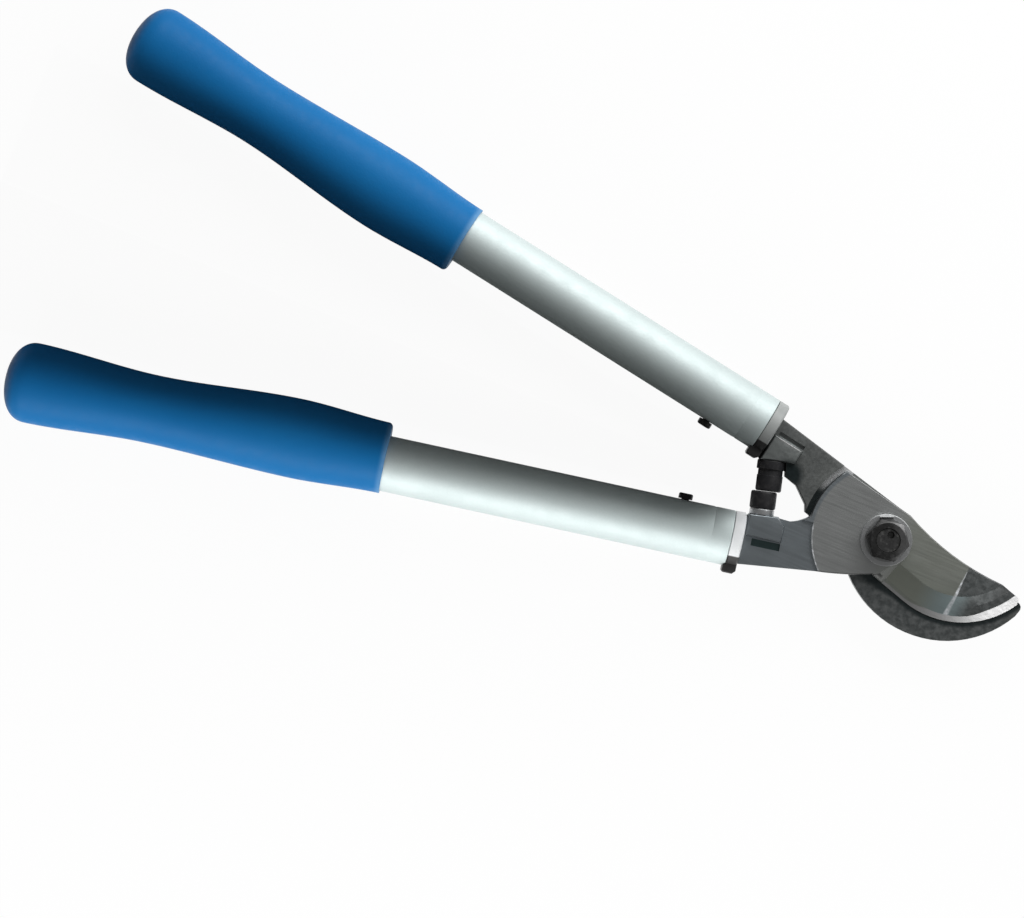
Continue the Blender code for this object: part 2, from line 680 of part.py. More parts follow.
def make_sleeve(name, handle, material, frame):
    """The moulded sleeve that holds the flat tang in the round tube."""
    front = -SEAT_GAP - FLANGE_LENGTH
    body = TUBE_BORE - SEAT_GAP
    profile = [(0.0, front), (TUBE_RADIUS - FLANGE_EDGE, front), (TUBE_RADIUS, front + FLANGE_EDGE)]
    profile += [(TUBE_RADIUS, -SEAT_GAP), (body, -SEAT_GAP), (body, SLEEVE_DEPTH - FLANGE_EDGE)]
    profile += [(body - FLANGE_EDGE, SLEEVE_DEPTH), (0.0, SLEEVE_DEPTH)]
    sleeve = lay_along(turned(name, profile, material, frame))
    weld(sleeve, sleeve_lug(name + "_lug", front, frame))
    half_width = TANG_WIDTH / 2 + SEAT_GAP
    half_height = TANG_THICKNESS / 2 + SEAT_GAP
    depth = TANG_DEPTH + SEAT_GAP
    slot = corners((-CLEAR, -half_width), (depth, -half_width), (depth, half_width), (-CLEAR, half_width))
    cut(sleeve, plate(name + "_slot", slot, -half_height, half_height, None, frame))
    cut(sleeve, screw_hole(name + "_screw_hole", handle, frame))
    return sleeve


def sleeve_lug(name, front, frame):
    """The lug that hooks over the tube's rim, hollowed to the tube's curve."""
    top = TUBE_RADIUS + LUG_RISE
    root = TUBE_BORE - TUBE_WALL
    slant = LUG_RISE / 2
    outline = corners(
        (front, root), (LUG_OVERLAP, root), (LUG_OVERLAP, top - slant / 2), (LUG_OVERLAP - slant / 2, top),
        (front + slant, top), (front, top - slant),
    )
    half = LUG_WIDTH / 2
    lug = plate(name, outline, -half, half, None, frame, PLATE_CHAMFER, PLATE_CHAMFER)
    seat = rod(name + "_seat", TUBE_RADIUS + SEAT_GAP, -SEAT_GAP, CLEAR * 2, None, frame, ROUND_STEPS)
    return cut(lug, lay_along(seat))


def screw_side(handle):
    """The handle's inner side, in the handle's own frame."""
    return 90.0 if handle.side > 0 else -90.0


def screw_hole(name, handle, frame):
    hole = rod(name, SCREW_RADIUS + SEAT_GAP, 0.0, TUBE_RADIUS + CLEAR, None, frame)
    return lay_along(hole, screw_side(handle), (SCREW_PLACE, 0.0, 0.0))


def make_screw(name, handle, material, frame):
    """A socket screw with a domed head."""
    seat = TUBE_RADIUS + SEAT_GAP
    tip = TANG_WIDTH / 2 - SCREW_BITE
    top = seat + SCREW_HEAD_HEIGHT
    profile = [(0.0, tip), (SCREW_RADIUS, tip), (SCREW_RADIUS, seat), (SCREW_HEAD_RADIUS, seat)]
    profile += [(SCREW_HEAD_RADIUS, top - SCREW_CROWN_HEIGHT), (SCREW_CROWN_RADIUS, top)]
    profile += [(SOCKET_RADIUS, top), (SOCKET_RADIUS, top - SOCKET_DEPTH), (0.0, top - SOCKET_DEPTH)]
    screw = turned(name, profile, material, frame, SMALL_STEPS)
    return lay_along(screw, screw_side(handle), (SCREW_PLACE, 0.0, 0.0))


def make_tube(name, handle, material, frame):
    outer, bore, edge = TUBE_RADIUS, TUBE_BORE, TUBE_EDGE
    profile = [(bore, 0.0), (outer - edge, 0.0), (outer, edge), (outer, TUBE_LENGTH), (bore, TUBE_LENGTH)]
    tube = lay_along(turned(name, profile, material, frame, ring=True))
    return cut(tube, screw_hole(name + "_screw_hole", handle, frame))


def make_plug(name, material, frame):
    """A cup-shaped plug that closes the tube's far end."""
    body = TUBE_BORE - SEAT_GAP
    wall = body - TUBE_WALL
    rim = TUBE_LENGTH + SEAT_GAP
    profile = [(0.0, rim), (wall, rim), (wall, TUBE_LENGTH - PLUG_DEPTH), (body, TUBE_LENGTH - PLUG_DEPTH)]
    profile += [(body, rim), (TUBE_RADIUS, rim), (TUBE_RADIUS, rim + PLUG_HEAD), (0.0, rim + PLUG_HEAD)]
    return lay_along(turned(name, profile, material, frame))


def grip_section(place):
    """The grip's half width, half height and shift at a place along it."""
    flare = (GRIP_FLARE_HALF_WIDTH, GRIP_FLARE_HALF_HEIGHT, GRIP_FLARE_SHIFT)
    stations = [
        (0.0, GRIP_FRONT_HALF_WIDTH, GRIP_FRONT_HALF_HEIGHT, GRIP_FRONT_SHIFT),
        (GRIP_BULGE_PLACE, GRIP_BULGE_HALF_WIDTH, GRIP_BULGE_HALF_HEIGHT, GRIP_BULGE_SHIFT),
        (GRIP_WAIST_PLACE, GRIP_WAIST_HALF_WIDTH, GRIP_WAIST_HALF_HEIGHT, GRIP_WAIST_SHIFT),
        (GRIP_FLARE_PLACE, *flare),
    ]
    for near, far in zip(stations, stations[1:]):
        if place < far[0]:
            share = (place - near[0]) / (far[0] - near[0])
            eased = share * share * (3 - 2 * share)
            return [first + (last - first) * eased for first, last in zip(near[1:], far[1:])]
    return flare


def grip_ring(place, side, shrink=0.0, scale=1.0):
    """One oval section; shrink draws in its top, its bottom and its side towards the other handle."""
    half_width, half_height, shift = grip_section(place)
    power = 2 / GRIP_SECTION_POWER
    ring = []
    for i in range(GRIP_STEPS):
        angle = math.tau * i / GRIP_STEPS
        across = math.copysign(abs(math.cos(angle)) ** power, math.cos(angle))
        up = math.copysign(abs(math.sin(angle)) ** power, math.sin(angle))
        y = side * (shift - shrink) + across * scale * (half_width - shrink)
        ring.append((place, y, up * scale * (half_height - shrink)))
    return ring


def make_grip(name, handle, material, frame):
    """A soft grip with a bulge, a waist and a domed end, moulded round the tube."""
    side = handle.side
    rings = [grip_ring(0.0, side, GRIP_LIP_STEP)]
    body = GRIP_FLARE_PLACE - GRIP_LIP_LENGTH
    for i in range(GRIP_BODY_STEPS + 1):
        rings.append(grip_ring(GRIP_LIP_LENGTH + body * i / GRIP_BODY_STEPS, side))
    power = 2 / GRIP_DOME_POWER
    for i in range(1, GRIP_DOME_STEPS + 1):
        angle = math.pi / 2 * i / (GRIP_DOME_STEPS + 1)
        place = GRIP_FLARE_PLACE + (GRIP_LENGTH - GRIP_FLARE_PLACE) * math.sin(angle) ** power
        rings.append(grip_ring(place, side, 0.0, math.cos(angle) ** power))
    rings.append(grip_ring(GRIP_LENGTH, side, 0.0, GRIP_END_SCALE))
    grip = lofted(name, rings, material, frame)
    grip.location = (TUBE_BARE_LENGTH, 0.0, 0.0)
    depth = TUBE_IN_GRIP + 2 * SEAT_GAP + PLUG_HEAD + SEAT_GAP
    bore = rod(name + "_bore", TUBE_RADIUS + SEAT_GAP, -CLEAR, depth, None, frame, ROUND_STEPS)
    return cut(grip, lay_along(bore, 0.0, (TUBE_BARE_LENGTH, 0.0, 0.0)))


def make_handle(prefix, handle, finishes, parent):
    place = handle.point(handle.tube_start, handle.axis_offset)
    frame = empty(prefix + "_handle_axis", parent, place.to_3d(), handle.heading)
    make_tube(prefix + "_tube", handle, finishes["tube"], frame)
    make_sleeve(prefix + "_tang_sleeve", handle, finishes["sleeve"], frame)
    make_screw(prefix + "_tang_screw", handle, finishes["dark"], frame)
    make_plug(prefix + "_tube_plug", finishes["plug"], frame)
    make_grip(prefix + "_grip", handle, finishes["grip"], frame)


def stand_on_origin(root):
    """Move the whole lopper so that its box's bottom centre is the world origin."""
    bpy.context.view_layer.update()
    graph = bpy.context.evaluated_depsgraph_get()
    low = [math.inf] * 3
    high = [-math.inf] * 3
    for thing in bpy.context.scene.objects:
        if thing.type != "MESH" or thing.hide_render:
            continue
        shown = thing.evaluated_get(graph)
        for vertex in shown.data.vertices:
            place = shown.matrix_world @ vertex.co
            low = [min(pair) for pair in zip(low, place)]
            high = [max(pair) for pair in zip(high, place)]
    root.location = (-(low[0] + high[0]) / 2, -(low[1] + high[1]) / 2, -low[2])
    bpy.context.view_layer.update()


def main():
    clear_scene()
    finishes = {
        "steel": finish("ground_steel", (0.42, 0.43, 0.43), 0.38, 1.0),
        "hook": finish("hook_steel", (0.20, 0.21, 0.22), 0.45, 1.0),
        "zinc": finish("zinc_plate", (0.62, 0.63, 0.64), 0.35, 1.0),
        "dark": finish("black_oxide", (0.025, 0.025, 0.027), 0.45, 0.6),
        "bronze": finish("bush_bronze", (0.55, 0.38, 0.18), 0.4, 1.0),
        "tube": finish("tube_aluminium", (0.72, 0.73, 0.73), 0.32, 1.0),
        "sleeve": finish("sleeve_nylon", (0.40, 0.41, 0.42), 0.4, 0.0),
        "plug": finish("plug_nylon", (0.03, 0.03, 0.03), 0.5, 0.0),
        "rubber": finish("bumper_rubber", (0.015, 0.014, 0.016), 0.6, 0.0),
        "grip": finish("grip_blue", (0.02, 0.16, 0.42), 0.55, 0.0),
    }
    root = empty("lopper", None)
    hook_side = empty("hook_side", root)
    blade_side = empty("blade_side_pivot", root)
    make_hook(finishes["hook"], hook_side)
    make_blade(finishes["steel"], blade_side)
    make_pivot(finishes["zinc"], finishes["dark"], finishes["bronze"], hook_side, blade_side)
    make_bumpers(finishes["rubber"], finishes["zinc"], hook_side, blade_side)
    make_handle("upper", UPPER, finishes, hook_side)
    make_handle("lower", LOWER, finishes, blade_side)
    stand_on_origin(root)


main()
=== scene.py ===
"""Looks of the bypass lopper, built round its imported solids. Metres, +Z up.

Pieces of the head are modelled about the pivot: +X runs to the jaws' tip, +Y to the hook's
handle, and height 0 is the cutting plane. Pieces of a handle are modelled along its tube:
+X runs from the tube's mouth to the grip's end.
"""
import json
import math

import bmesh
import bpy
from mathutils import Matrix, Vector


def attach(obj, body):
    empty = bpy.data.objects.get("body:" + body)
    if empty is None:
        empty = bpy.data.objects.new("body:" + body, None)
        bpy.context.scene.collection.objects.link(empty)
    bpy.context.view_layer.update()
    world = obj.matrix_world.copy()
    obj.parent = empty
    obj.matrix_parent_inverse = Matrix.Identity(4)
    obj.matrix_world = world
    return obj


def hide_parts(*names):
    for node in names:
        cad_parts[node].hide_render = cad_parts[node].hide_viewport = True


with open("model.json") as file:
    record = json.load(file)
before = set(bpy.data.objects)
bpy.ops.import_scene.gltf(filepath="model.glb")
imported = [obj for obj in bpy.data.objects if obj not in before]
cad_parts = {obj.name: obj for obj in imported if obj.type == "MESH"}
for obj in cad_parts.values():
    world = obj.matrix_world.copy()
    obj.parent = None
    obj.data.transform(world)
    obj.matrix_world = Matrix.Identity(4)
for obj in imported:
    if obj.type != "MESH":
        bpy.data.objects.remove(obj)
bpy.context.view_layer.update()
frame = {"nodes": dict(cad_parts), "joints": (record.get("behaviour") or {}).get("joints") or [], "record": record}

# What the record says: the pivot, and each node's body and material slot
PIVOT = Vector(frame["joints"][0]["pos_m"])
BODIES = frame["record"]["behaviour"]["bodies"]
BODY_OF = {node: body for body, nodes in BODIES.items() for node in nodes}

# Gap between two pieces that touch, the facets of round pieces and corners, and the angles
# from which edges are shaded sharp
SEAT_GAP = 0.0003
ROUND_STEPS = 96
SMALL_STEPS = 48
CORNER_STEPS = 4
SHARP_DEGREES = 35.0
GRIP_SHARP_DEGREES = 60.0
NUT_SHARP_DEGREES = 25.0

# Handles: angle to the centre line, distance of each tube's axis from the pivot, and
# distance along it to the tube's mouth
HANDLE_DEGREES = 10.0
UPPER_AXIS_OFFSET = 0.0170
LOWER_AXIS_OFFSET = 0.0154
UPPER_TUBE_START = 0.0815
LOWER_TUBE_START = 0.0760
TUBE_RADIUS = 0.0140
TUBE_WALL = 0.0015
TUBE_BARE_LENGTH = 0.1764
TUBE_IN_GRIP = 0.1750
TUBE_LENGTH = TUBE_BARE_LENGTH + TUBE_IN_GRIP
TUBE_MOUTH_RADIUS = 0.0005
CRIMP_PLACE = 0.0100
CRIMP_HALF_WIDTH = 0.0009
CRIMP_DEPTH = 0.00018

# Grips, at stations from the front: half the width, half the height, and the shift
# towards the other handle
GRIP_LENGTH = 0.19435
GRIP_STATIONS = (
    (0.0, 0.01785, 0.0164, 0.00265),
    (0.0460, 0.0200, 0.0170, 0.0028),
    (0.1200, 0.0172, 0.0160, 0.0019),
    (0.1810, 0.02022, 0.0170, 0.0020),
)
GRIP_FLARE_PLACE = GRIP_STATIONS[-1][0]
GRIP_LIP = 0.0022
GRIP_LIP_STEP = 0.0011
GRIP_SECTION_POWER = 2.0
GRIP_DOME_POWER = 2.2
GRIP_END_SCALE = 0.03
GRIP_STEPS = 96
GRIP_BODY_RINGS = 90
GRIP_DOME_RINGS = 18
GRIP_LIP_RINGS = 6
PLUG_ROOM = 0.0034

# Screws through the tubes into the tangs
SCREW_PLACE = 0.0260
SCREW_RADIUS = 0.0020
SCREW_TIP = 0.0018
SCREW_HEAD_RADIUS = 0.0036
SCREW_HEAD_HEIGHT = 0.0029
SCREW_CROWN = 0.0009
SOCKET_FLATS = 0.0031
SOCKET_DEPTH = 0.0018

# Bumpers, measured from the plane where they meet
BUMPER_MEET = Vector((-0.0634, 0.0003, 0.0))
BUMPER_DEGREES = 105.0
BUMPER_RADIUS = 0.0065
BUMPER_EDGE = 0.0012
STUD_BORE = 0.0023
STUD_COVER = 0.0040
UPPER_PAD_HEIGHT = 0.0080
UPPER_STEM_RADIUS = 0.0062
UPPER_STEM_EDGE = 0.0001
UPPER_FOOT_RADIUS = 0.0071
UPPER_FOOT_HEIGHT = 0.0044
UPPER_SEAT = 0.0155
LOWER_PAD_HEIGHT = 0.0090
LOWER_SEAT = 0.0120
COLLAR_RADIUS = 0.0062
STUD_RADIUS = 0.0020
STUD_END = 0.0187
RUBBER_GAP = 0.00005
SMALL_EDGE = BUMPER_EDGE / 3
LOWER_BUMPER_SHIFT = 0.0018

# Pivot's fasteners; the head's flat face is given as a share of its inscribed radius, and so
# is the nut's crown, and the notch's floor as a share of its mouth
BOLT_RADIUS = 0.0060
BOLT_HEAD_FLATS = 0.0190
BOLT_HEAD_HEIGHT = 0.00725
BOLT_HEAD_FACE = 0.96
BOLT_FLANGE_RADIUS = 0.0130
BOLT_FLANGE_HEIGHT = 0.0020
BOLT_NECK_HALF = 0.0060
BOLT_NECK_LENGTH = 0.0050
BOLT_END_SINK = 0.0008
BOLT_END_CHAMFER = 0.0002
NOTCH_PLACE = (0.0003, 0.0031)
NOTCH_RADIUS = 0.0018
NOTCH_DEPTH = 0.0022
NOTCH_FLOOR = 0.7
THREAD_GAP = 0.0001
THREAD_DEPTH = 0.0005
THREAD_PITCH = 0.0010
WASHER_RADIUS = 0.0130
WASHER_HEIGHT = 0.0012
WASHER_EDGE = 0.0003
TAB_WASHER_HEIGHT = 0.0010
NUT_FLATS = 0.0190
NUT_HEIGHT = 0.0080
NUT_SINK = 0.0001
NUT_CROWN = 0.93
HEXAGON_TURN = 8.0
HEXAGON_SLOPE = math.tan(math.radians(30.0))
BLADE_FRONT = SEAT_GAP / 2 + 0.0048
HOOK_BACK = -SEAT_GAP / 2 - 0.0073
WASHER_BASE = BLADE_FRONT + SEAT_GAP
NUT_BASE = WASHER_BASE + WASHER_HEIGHT + SEAT_GAP + TAB_WASHER_HEIGHT + SEAT_GAP

# Blade's cutting edge, and its ground zones by how far their faces lean
EDGE_CENTRE = Vector((0.0340, 0.0192, 0.0))
EDGE_RADIUS = 0.0462
EDGE_HEEL_DEGREES = -107.7
GROUND_FROM = EDGE_RADIUS / 2
BEVEL_NORMAL_Z = (0.86, 0.915)
HOLLOW_NORMAL_Z = (0.915, 0.99)
CHAMFER_NORMAL_Z = (0.60, 0.85)

# Bevel: its width at the heel and along the edge, and how it widens towards the tip
BEVEL_HEEL_WIDTH = 0.0014
BEVEL_WIDTH = 0.0030
BEVEL_TOLERANCE = 0.0001
SPINE_TOLERANCE = BEVEL_TOLERANCE / 5
BEVEL_SLOPE = 0.5
BEVEL_TIP_EXTRA = 0.0016
BEVEL_TIP_PLACES = (0.050, 0.064)
SPINE_WAY = Vector((-0.955, 0.295))

# Copies of CAD faces: merging distance, flat angle, the angles of edges that are shaded
# round, and the weight at which a face's own direction rules its corners
MERGE = 0.000001
FLAT_DEGREES = 0.5
SMOOTH_DEGREES = 12.0
CHAMFER_DEGREES = (40.0, 50.0)
FACE_WEIGHT = 100

# The photograph's frame: its turn, width, height over the cutting plane and middle
PHOTO_TURN = 22.2
PHOTO_WIDTH = 0.512
PHOTO_CENTRE = Vector((-0.1880, -0.0330, 0.0))
CAMERA_HEIGHT = 1.8
SENSOR_WIDTH = 36.0

# Light: the world, the floor and its share of white to the camera, the softboxes along the
# handles, the small one beyond the jaws' tip, and the dark cards between the handles
WORLD_LIGHT = 0.16
FLOOR_GREY = 0.85
FLOOR_ROUGHNESS = 0.9
FLOOR_GLOW = 0.95
FLOOR_DROP = 0.0002
FLOOR_REACH = 6.0
LAMP_LENGTH = 1.3
LAMP_WIDTH = 0.5
UPPER_LAMP_POWER = 8.1
LOWER_LAMP_POWER = 7.2
UPPER_LAMP_DEGREES = 57.0
LOWER_LAMP_DEGREES = 62.0
LAMP_DISTANCE = 0.8
LAMP_ALONG = 0.16
JAW_LAMP_LENGTH = 0.45
JAW_LAMP_WIDTH = 0.25
JAW_LAMP_POWER = 0.70
JAW_LAMP_DISTANCE = 0.8
JAW_LAMP_AZIMUTH = -36.0
JAW_LAMP_ELEVATION = 31.0
JAW_LAMP_AIM = Vector((0.055, -0.010, 0.0))
FLAG_GREY = 0.13
FLAG_NEAR = -0.075
FLAG_FAR = -0.480
FLAG_NEAR_HEIGHT = 0.055
FLAG_FAR_HEIGHT = 0.140
FLAG_NEAR_REACH = 0.010
FLAG_FAR_REACH = 0.075


def eased(share):
    """A share from 0 to 1 that starts and ends softly."""
    return share * share * (3 - 2 * share)


def rounded(corners):
    """A profile; each corner given with a third value is rounded to that radius."""
    path = []
    for i, corner in enumerate(corners):
        here = Vector(corner[:2])
        if len(corner) == 2:
            path.append(here)
            continue
        before = (Vector(corners[i - 1][:2]) - here).normalized()
        after = (Vector(corners[(i + 1) % len(corners)][:2]) - here).normalized()
        reach = corner[2] * math.tan((math.pi - before.angle(after)) / 2)
        for step in range(CORNER_STEPS + 1):
            share = step / CORNER_STEPS
            path.append(here + before * reach * (1 - share) ** 2 + after * reach * share ** 2)
    return path


def turned(profile, steps=ROUND_STEPS, ring=False):
    """A profile of (radius, height) turned about Z; a ring's profile is closed."""
    shape = bmesh.new()
    points = [shape.verts.new((point[0], 0.0, point[1])) for point in profile]
    followers = points[1:] + points[:1] if ring else points[1:]
    edges = [shape.edges.new(pair) for pair in zip(points, followers)]
    bmesh.ops.spin(
        shape, geom=points + edges, axis=(0.0, 0.0, 1.0), cent=(0.0, 0.0, 0.0),
        angle=math.tau, steps=steps, use_merge=True,
    )
    bmesh.ops.remove_doubles(shape, verts=shape.verts, dist=MERGE)
    return shape


def lofted(rings, hollow=False):
    """A solid skinned over rings of equal count: closed at both ends, or round a hole."""
    shape = bmesh.new()
    loops = [[shape.verts.new(point) for point in ring] for ring in rings]
    count = len(loops[0])
    followers = loops[1:] + loops[:1] if hollow else loops[1:]
    for near, far in zip(loops, followers):
        for i in range(count):
            j = (i + 1) % count
            shape.faces.new((near[i], near[j], far[j], far[i]))
    if not hollow:
        shape.faces.new(loops[0])
        shape.faces.new(loops[-1])
    return shape


def round_ring(radius, height, steps):
    angles = [math.tau * i / steps for i in range(steps)]
    return [(radius * math.cos(angle), radius * math.sin(angle), height) for angle in angles]


def hexagon_reach(flats, angle):
    """Distance from a hexagon's middle to its side, at an angle."""
    sector = math.tau / 6
    from_corner = (angle - math.radians(HEXAGON_TURN)) % sector
    return flats / 2 / math.cos(from_corner - sector / 2)


def hexagon_ring(flats, height, steps, chamfer_from=None, slope=0.0):
    """A ring round a hexagon; where it reaches past chamfer_from, its height drops by slope."""
    ring = []
    for i in range(steps):
        angle = math.tau * i / steps
        reach = hexagon_reach(flats, angle)
        drop = max(0.0, reach - chamfer_from) * slope if chamfer_from else 0.0
        ring.append((reach * math.cos(angle), reach * math.sin(angle), height - drop))
    return ring


def square_ring(half, height, steps):
    ring = []
    for i in range(steps):
        angle = math.tau * i / steps
        reach = half / max(abs(math.cos(angle)), abs(math.sin(angle)))
        ring.append((reach * math.cos(angle), reach * math.sin(angle), height))
    return ring


def add_object(name, data):
    thing = bpy.data.objects.new(name, data)
    bpy.context.scene.collection.objects.link(thing)
    return thing


def new_mesh(name, shape):
    """A mesh from a bmesh, which is used up."""
    mesh = bpy.data.meshes.new(name)
    shape.to_mesh(mesh)
    shape.free()
    return mesh


def add_piece(name, shape, placement, finish, node, sharp_degrees=SHARP_DEGREES):
    """Turn a bmesh into a piece that stands for a CAD node and rides on its body.

    Its modelling coordinates are kept as own_place, for the finishes that follow them.
    """
    bmesh.ops.recalc_face_normals(shape, faces=shape.faces)
    mesh = new_mesh(name, shape)
    own_place = mesh.attributes.new("own_place", "FLOAT_VECTOR", "POINT")
    own_place.data.foreach_set("vector", [value for vertex in mesh.vertices for value in vertex.co])
    mesh.transform(placement)
    mesh.shade_smooth()
    mesh.set_sharp_from_angle(angle=math.radians(sharp_degrees))
    mesh.materials.append(finish)
    piece = add_object(name, mesh)
    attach(piece, BODY_OF[node])
    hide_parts(node)
    return piece


def copied_faces(node, placement):
    """A CAD node's faces in the placement's own axes, merged where they are flat."""
    shape = bmesh.new()
    shape.from_mesh(frame["nodes"][node].data)
    shape.transform(placement.inverted())
    bmesh.ops.remove_doubles(shape, verts=shape.verts, dist=MERGE)
    bmesh.ops.dissolve_limit(
        shape, angle_limit=math.radians(FLAT_DEGREES), verts=shape.verts, edges=shape.edges
    )
    return shape


def soften(piece):
    """Shade the chamfers round and leave every other edge crisp."""
    shape = bmesh.new()
    shape.from_mesh(piece.data)
    low, high = (math.radians(angle) for angle in CHAMFER_DEGREES)
    for edge in shape.edges:
        angle = edge.calc_face_angle(math.pi)
        edge.smooth = angle < math.radians(SMOOTH_DEGREES) or low < angle < high
    shape.to_mesh(piece.data)
    shape.free()
    weights = piece.modifiers.new("weighted normals", "WEIGHTED_NORMAL")
    weights.keep_sharp = True
    weights.weight = FACE_WEIGHT
    return piece


class Handle:
    """One handle: its name, the matrix along its tube, and the way to its inner side."""

    def __init__(self, name, side, axis_offset, tube_start):
        self.name = name
        self.side = side
        angle = math.radians(HANDLE_DEGREES)
        away = Vector((-math.cos(angle), side * math.sin(angle), 0.0))
        out = Vector((math.sin(angle), side * math.cos(angle), 0.0))
        place = PIVOT + tube_start * away + axis_offset * out
        heading = math.pi - side * angle
        self.along = Matrix.Translation(place) @ Matrix.Rotation(heading, 4, "Z")

    def lying(self):
        """A turned piece's axes laid along the tube."""
        return self.along @ Matrix.Rotation(math.pi / 2, 4, "Y")


HEAD = Matrix.Translation(PIVOT)
UPPER = Handle("upper", 1, UPPER_AXIS_OFFSET, UPPER_TUBE_START)
LOWER = Handle("lower", -1, LOWER_AXIS_OFFSET, LOWER_TUBE_START)


class Finish:
    """A procedural material, with short ways to add nodes to it."""

    def __init__(self, name, **values):
        self.material = bpy.data.materials.new(name)
        self.material.use_nodes = True
        self.tree = self.material.node_tree
        self.shader = self.tree.nodes["Principled BSDF"]
        for socket, value in values.items():
            self.shader.inputs[socket.replace("_", " ")].default_value = value
        self.place = self.add("ShaderNodeTexCoord").outputs["Object"]

    def add(self, kind, settings=None, **inputs):
        node = self.tree.nodes.new(kind)
        for key, value in (settings or {}).items():
            setattr(node, key, value)
        for key, value in inputs.items():
            self.feed(node.inputs[key.replace("_", " ")], value)
        return node

    def feed(self, socket, value):
        if isinstance(value, bpy.types.NodeSocket):
            self.tree.links.new(value, socket)
        else:
            socket.default_value = value

    def set(self, socket, value):
        self.feed(self.shader.inputs[socket], value)

    def follow_piece(self):
        """Measure from the piece's own axes in place of the world's."""
        own = self.add("ShaderNodeAttribute", {"attribute_name": "own_place"})
        self.place = own.outputs["Vector"]
        return self

    def noise(self, scale, stretch=(1.0, 1.0, 1.0), detail=4.0, roughness=0.55):
        """Noise with scale features to the metre, before each axis is multiplied by stretch."""
        spread = self.add("ShaderNodeMapping", Vector=self.place, Scale=stretch)
        texture = self.add(
            "ShaderNodeTexNoise", Vector=spread.outputs["Vector"], Scale=scale, Detail=detail,
            Roughness=roughness,
        )
        return texture.outputs["Fac"]

    def ranged(self, value, low, high, to_low, to_high):
        """A value between low and high, carried softly to between to_low and to_high."""
        node = self.add("ShaderNodeMapRange", {"interpolation_type": "SMOOTHSTEP"})
        for socket, entry in zip(node.inputs[:5], (value, low, high, to_low, to_high)):
            self.feed(socket, entry)
        return node.outputs["Result"]

    def rise(self, value, ends, top=1.0):
        return self.ranged(value, *ends, 0.0, top)

    def fall(self, value, ends, top=1.0):
        return self.ranged(value, *ends, top, 0.0)

    def math(self, operation, first, second=0.0):
        node = self.add("ShaderNodeMath", {"operation": operation})
        self.feed(node.inputs[0], first)
        self.feed(node.inputs[1], second)
        return node.outputs["Value"]

    def mix(self, factor, first, second):
        node = self.add("ShaderNodeMix", {"data_type": "RGBA"})
        self.feed(node.inputs["Factor"], factor)
        self.feed(node.inputs["A"], first)
        self.feed(node.inputs["B"], second)
        return node.outputs["Result"]

    def axes(self, offset=(0.0, 0.0, 0.0)):
        """The three coordinates, measured from offset."""
        moved = self.add("ShaderNodeVectorMath", {"operation": "SUBTRACT"})
        self.feed(moved.inputs[0], self.place)
        self.feed(moved.inputs[1], offset)
        split = self.add("ShaderNodeSeparateXYZ", Vector=moved.outputs["Vector"])
        return [split.outputs[axis] for axis in "XYZ"]

    def sum(self, first, second):
        return self.math("ADD", first, second)

    def product(self, first, *others):
        for other in others:
            first = self.math("MULTIPLY", first, other)
        return first

    def away(self, value, middle):
        """How far a value is from the middle, to either side."""
        return self.math("ABSOLUTE", self.math("SUBTRACT", value, middle))

    def distance(self, point):
        """Distance from a line that stands on a point of the head's plane."""
        x, y, z = self.axes(point)
        return self.math("SQRT", self.sum(self.product(x, x), self.product(y, y)))

    def from_edge(self):
        """Distance outward from the blade's cutting edge: a straight heel, then an arc."""
        x, y, z = self.axes(EDGE_CENTRE)
        heel = math.radians(EDGE_HEEL_DEGREES)
        behind = self.sum(self.product(x, math.sin(heel)), self.product(y, -math.cos(heel)))
        straight = self.sum(self.product(x, math.cos(heel)), self.product(y, math.sin(heel)))
        belly = self.distance(EDGE_CENTRE)
        bend = self.math("SUBTRACT", straight, belly)
        reach = self.sum(belly, self.product(self.math("GREATER_THAN", behind, 0.0), bend))
        return self.math("SUBTRACT", reach, EDGE_RADIUS)

    def chamfers(self):
        """How much painted shade darkens the chamfered edges; less so on the bosses, which stand higher."""
        height = self.axes()[2]
        painted_shade = self.ranged(height, *BOSS_HEIGHTS, *CHAMFER_SHADE)
        return self.product(self.attribute("chamfer"), painted_shade)

    def attribute(self, name):
        return self.add("ShaderNodeAttribute", {"attribute_name": name}).outputs["Fac"]

    def rough(self, noise, smoothest, roughest):
        self.set("Roughness", self.ranged(noise, *NOISE_ENDS, smoothest, roughest))

    def bump(self, height, strength, distance):
        """Relief from a height, on top of any that the shader has."""
        previous = self.shader.inputs["Normal"]
        node = self.add("ShaderNodeBump", Height=height, Strength=strength, Distance=distance)
        if previous.is_linked:
            self.feed(node.inputs["Normal"], previous.links[0].from_socket)
        self.set("Normal", node.outputs["Normal"])


def rgb(red, green, blue):
    return (red, green, blue, 1.0)


def grey(value):
    return rgb(value, value, value)


# Noise: the part of its range that is used, for grain, for lines and for mottling, and the
# stretch that draws it out through a plate's thickness
NOISE_ENDS = (0.3, 0.7)
LINE_ENDS = (0.2, 0.8)
MOTTLE_ENDS = (0.35, 0.65)
THROUGH_PLATE = (1.0, 1.0, 0.1)

# Heights, over the cutting plane, between which a boss begins; the painted shade on chamfered
# edges below and above that
BOSS_HEIGHTS = (0.0050, 0.0056)
CHAMFER_SHADE = (0.7, 0.35)

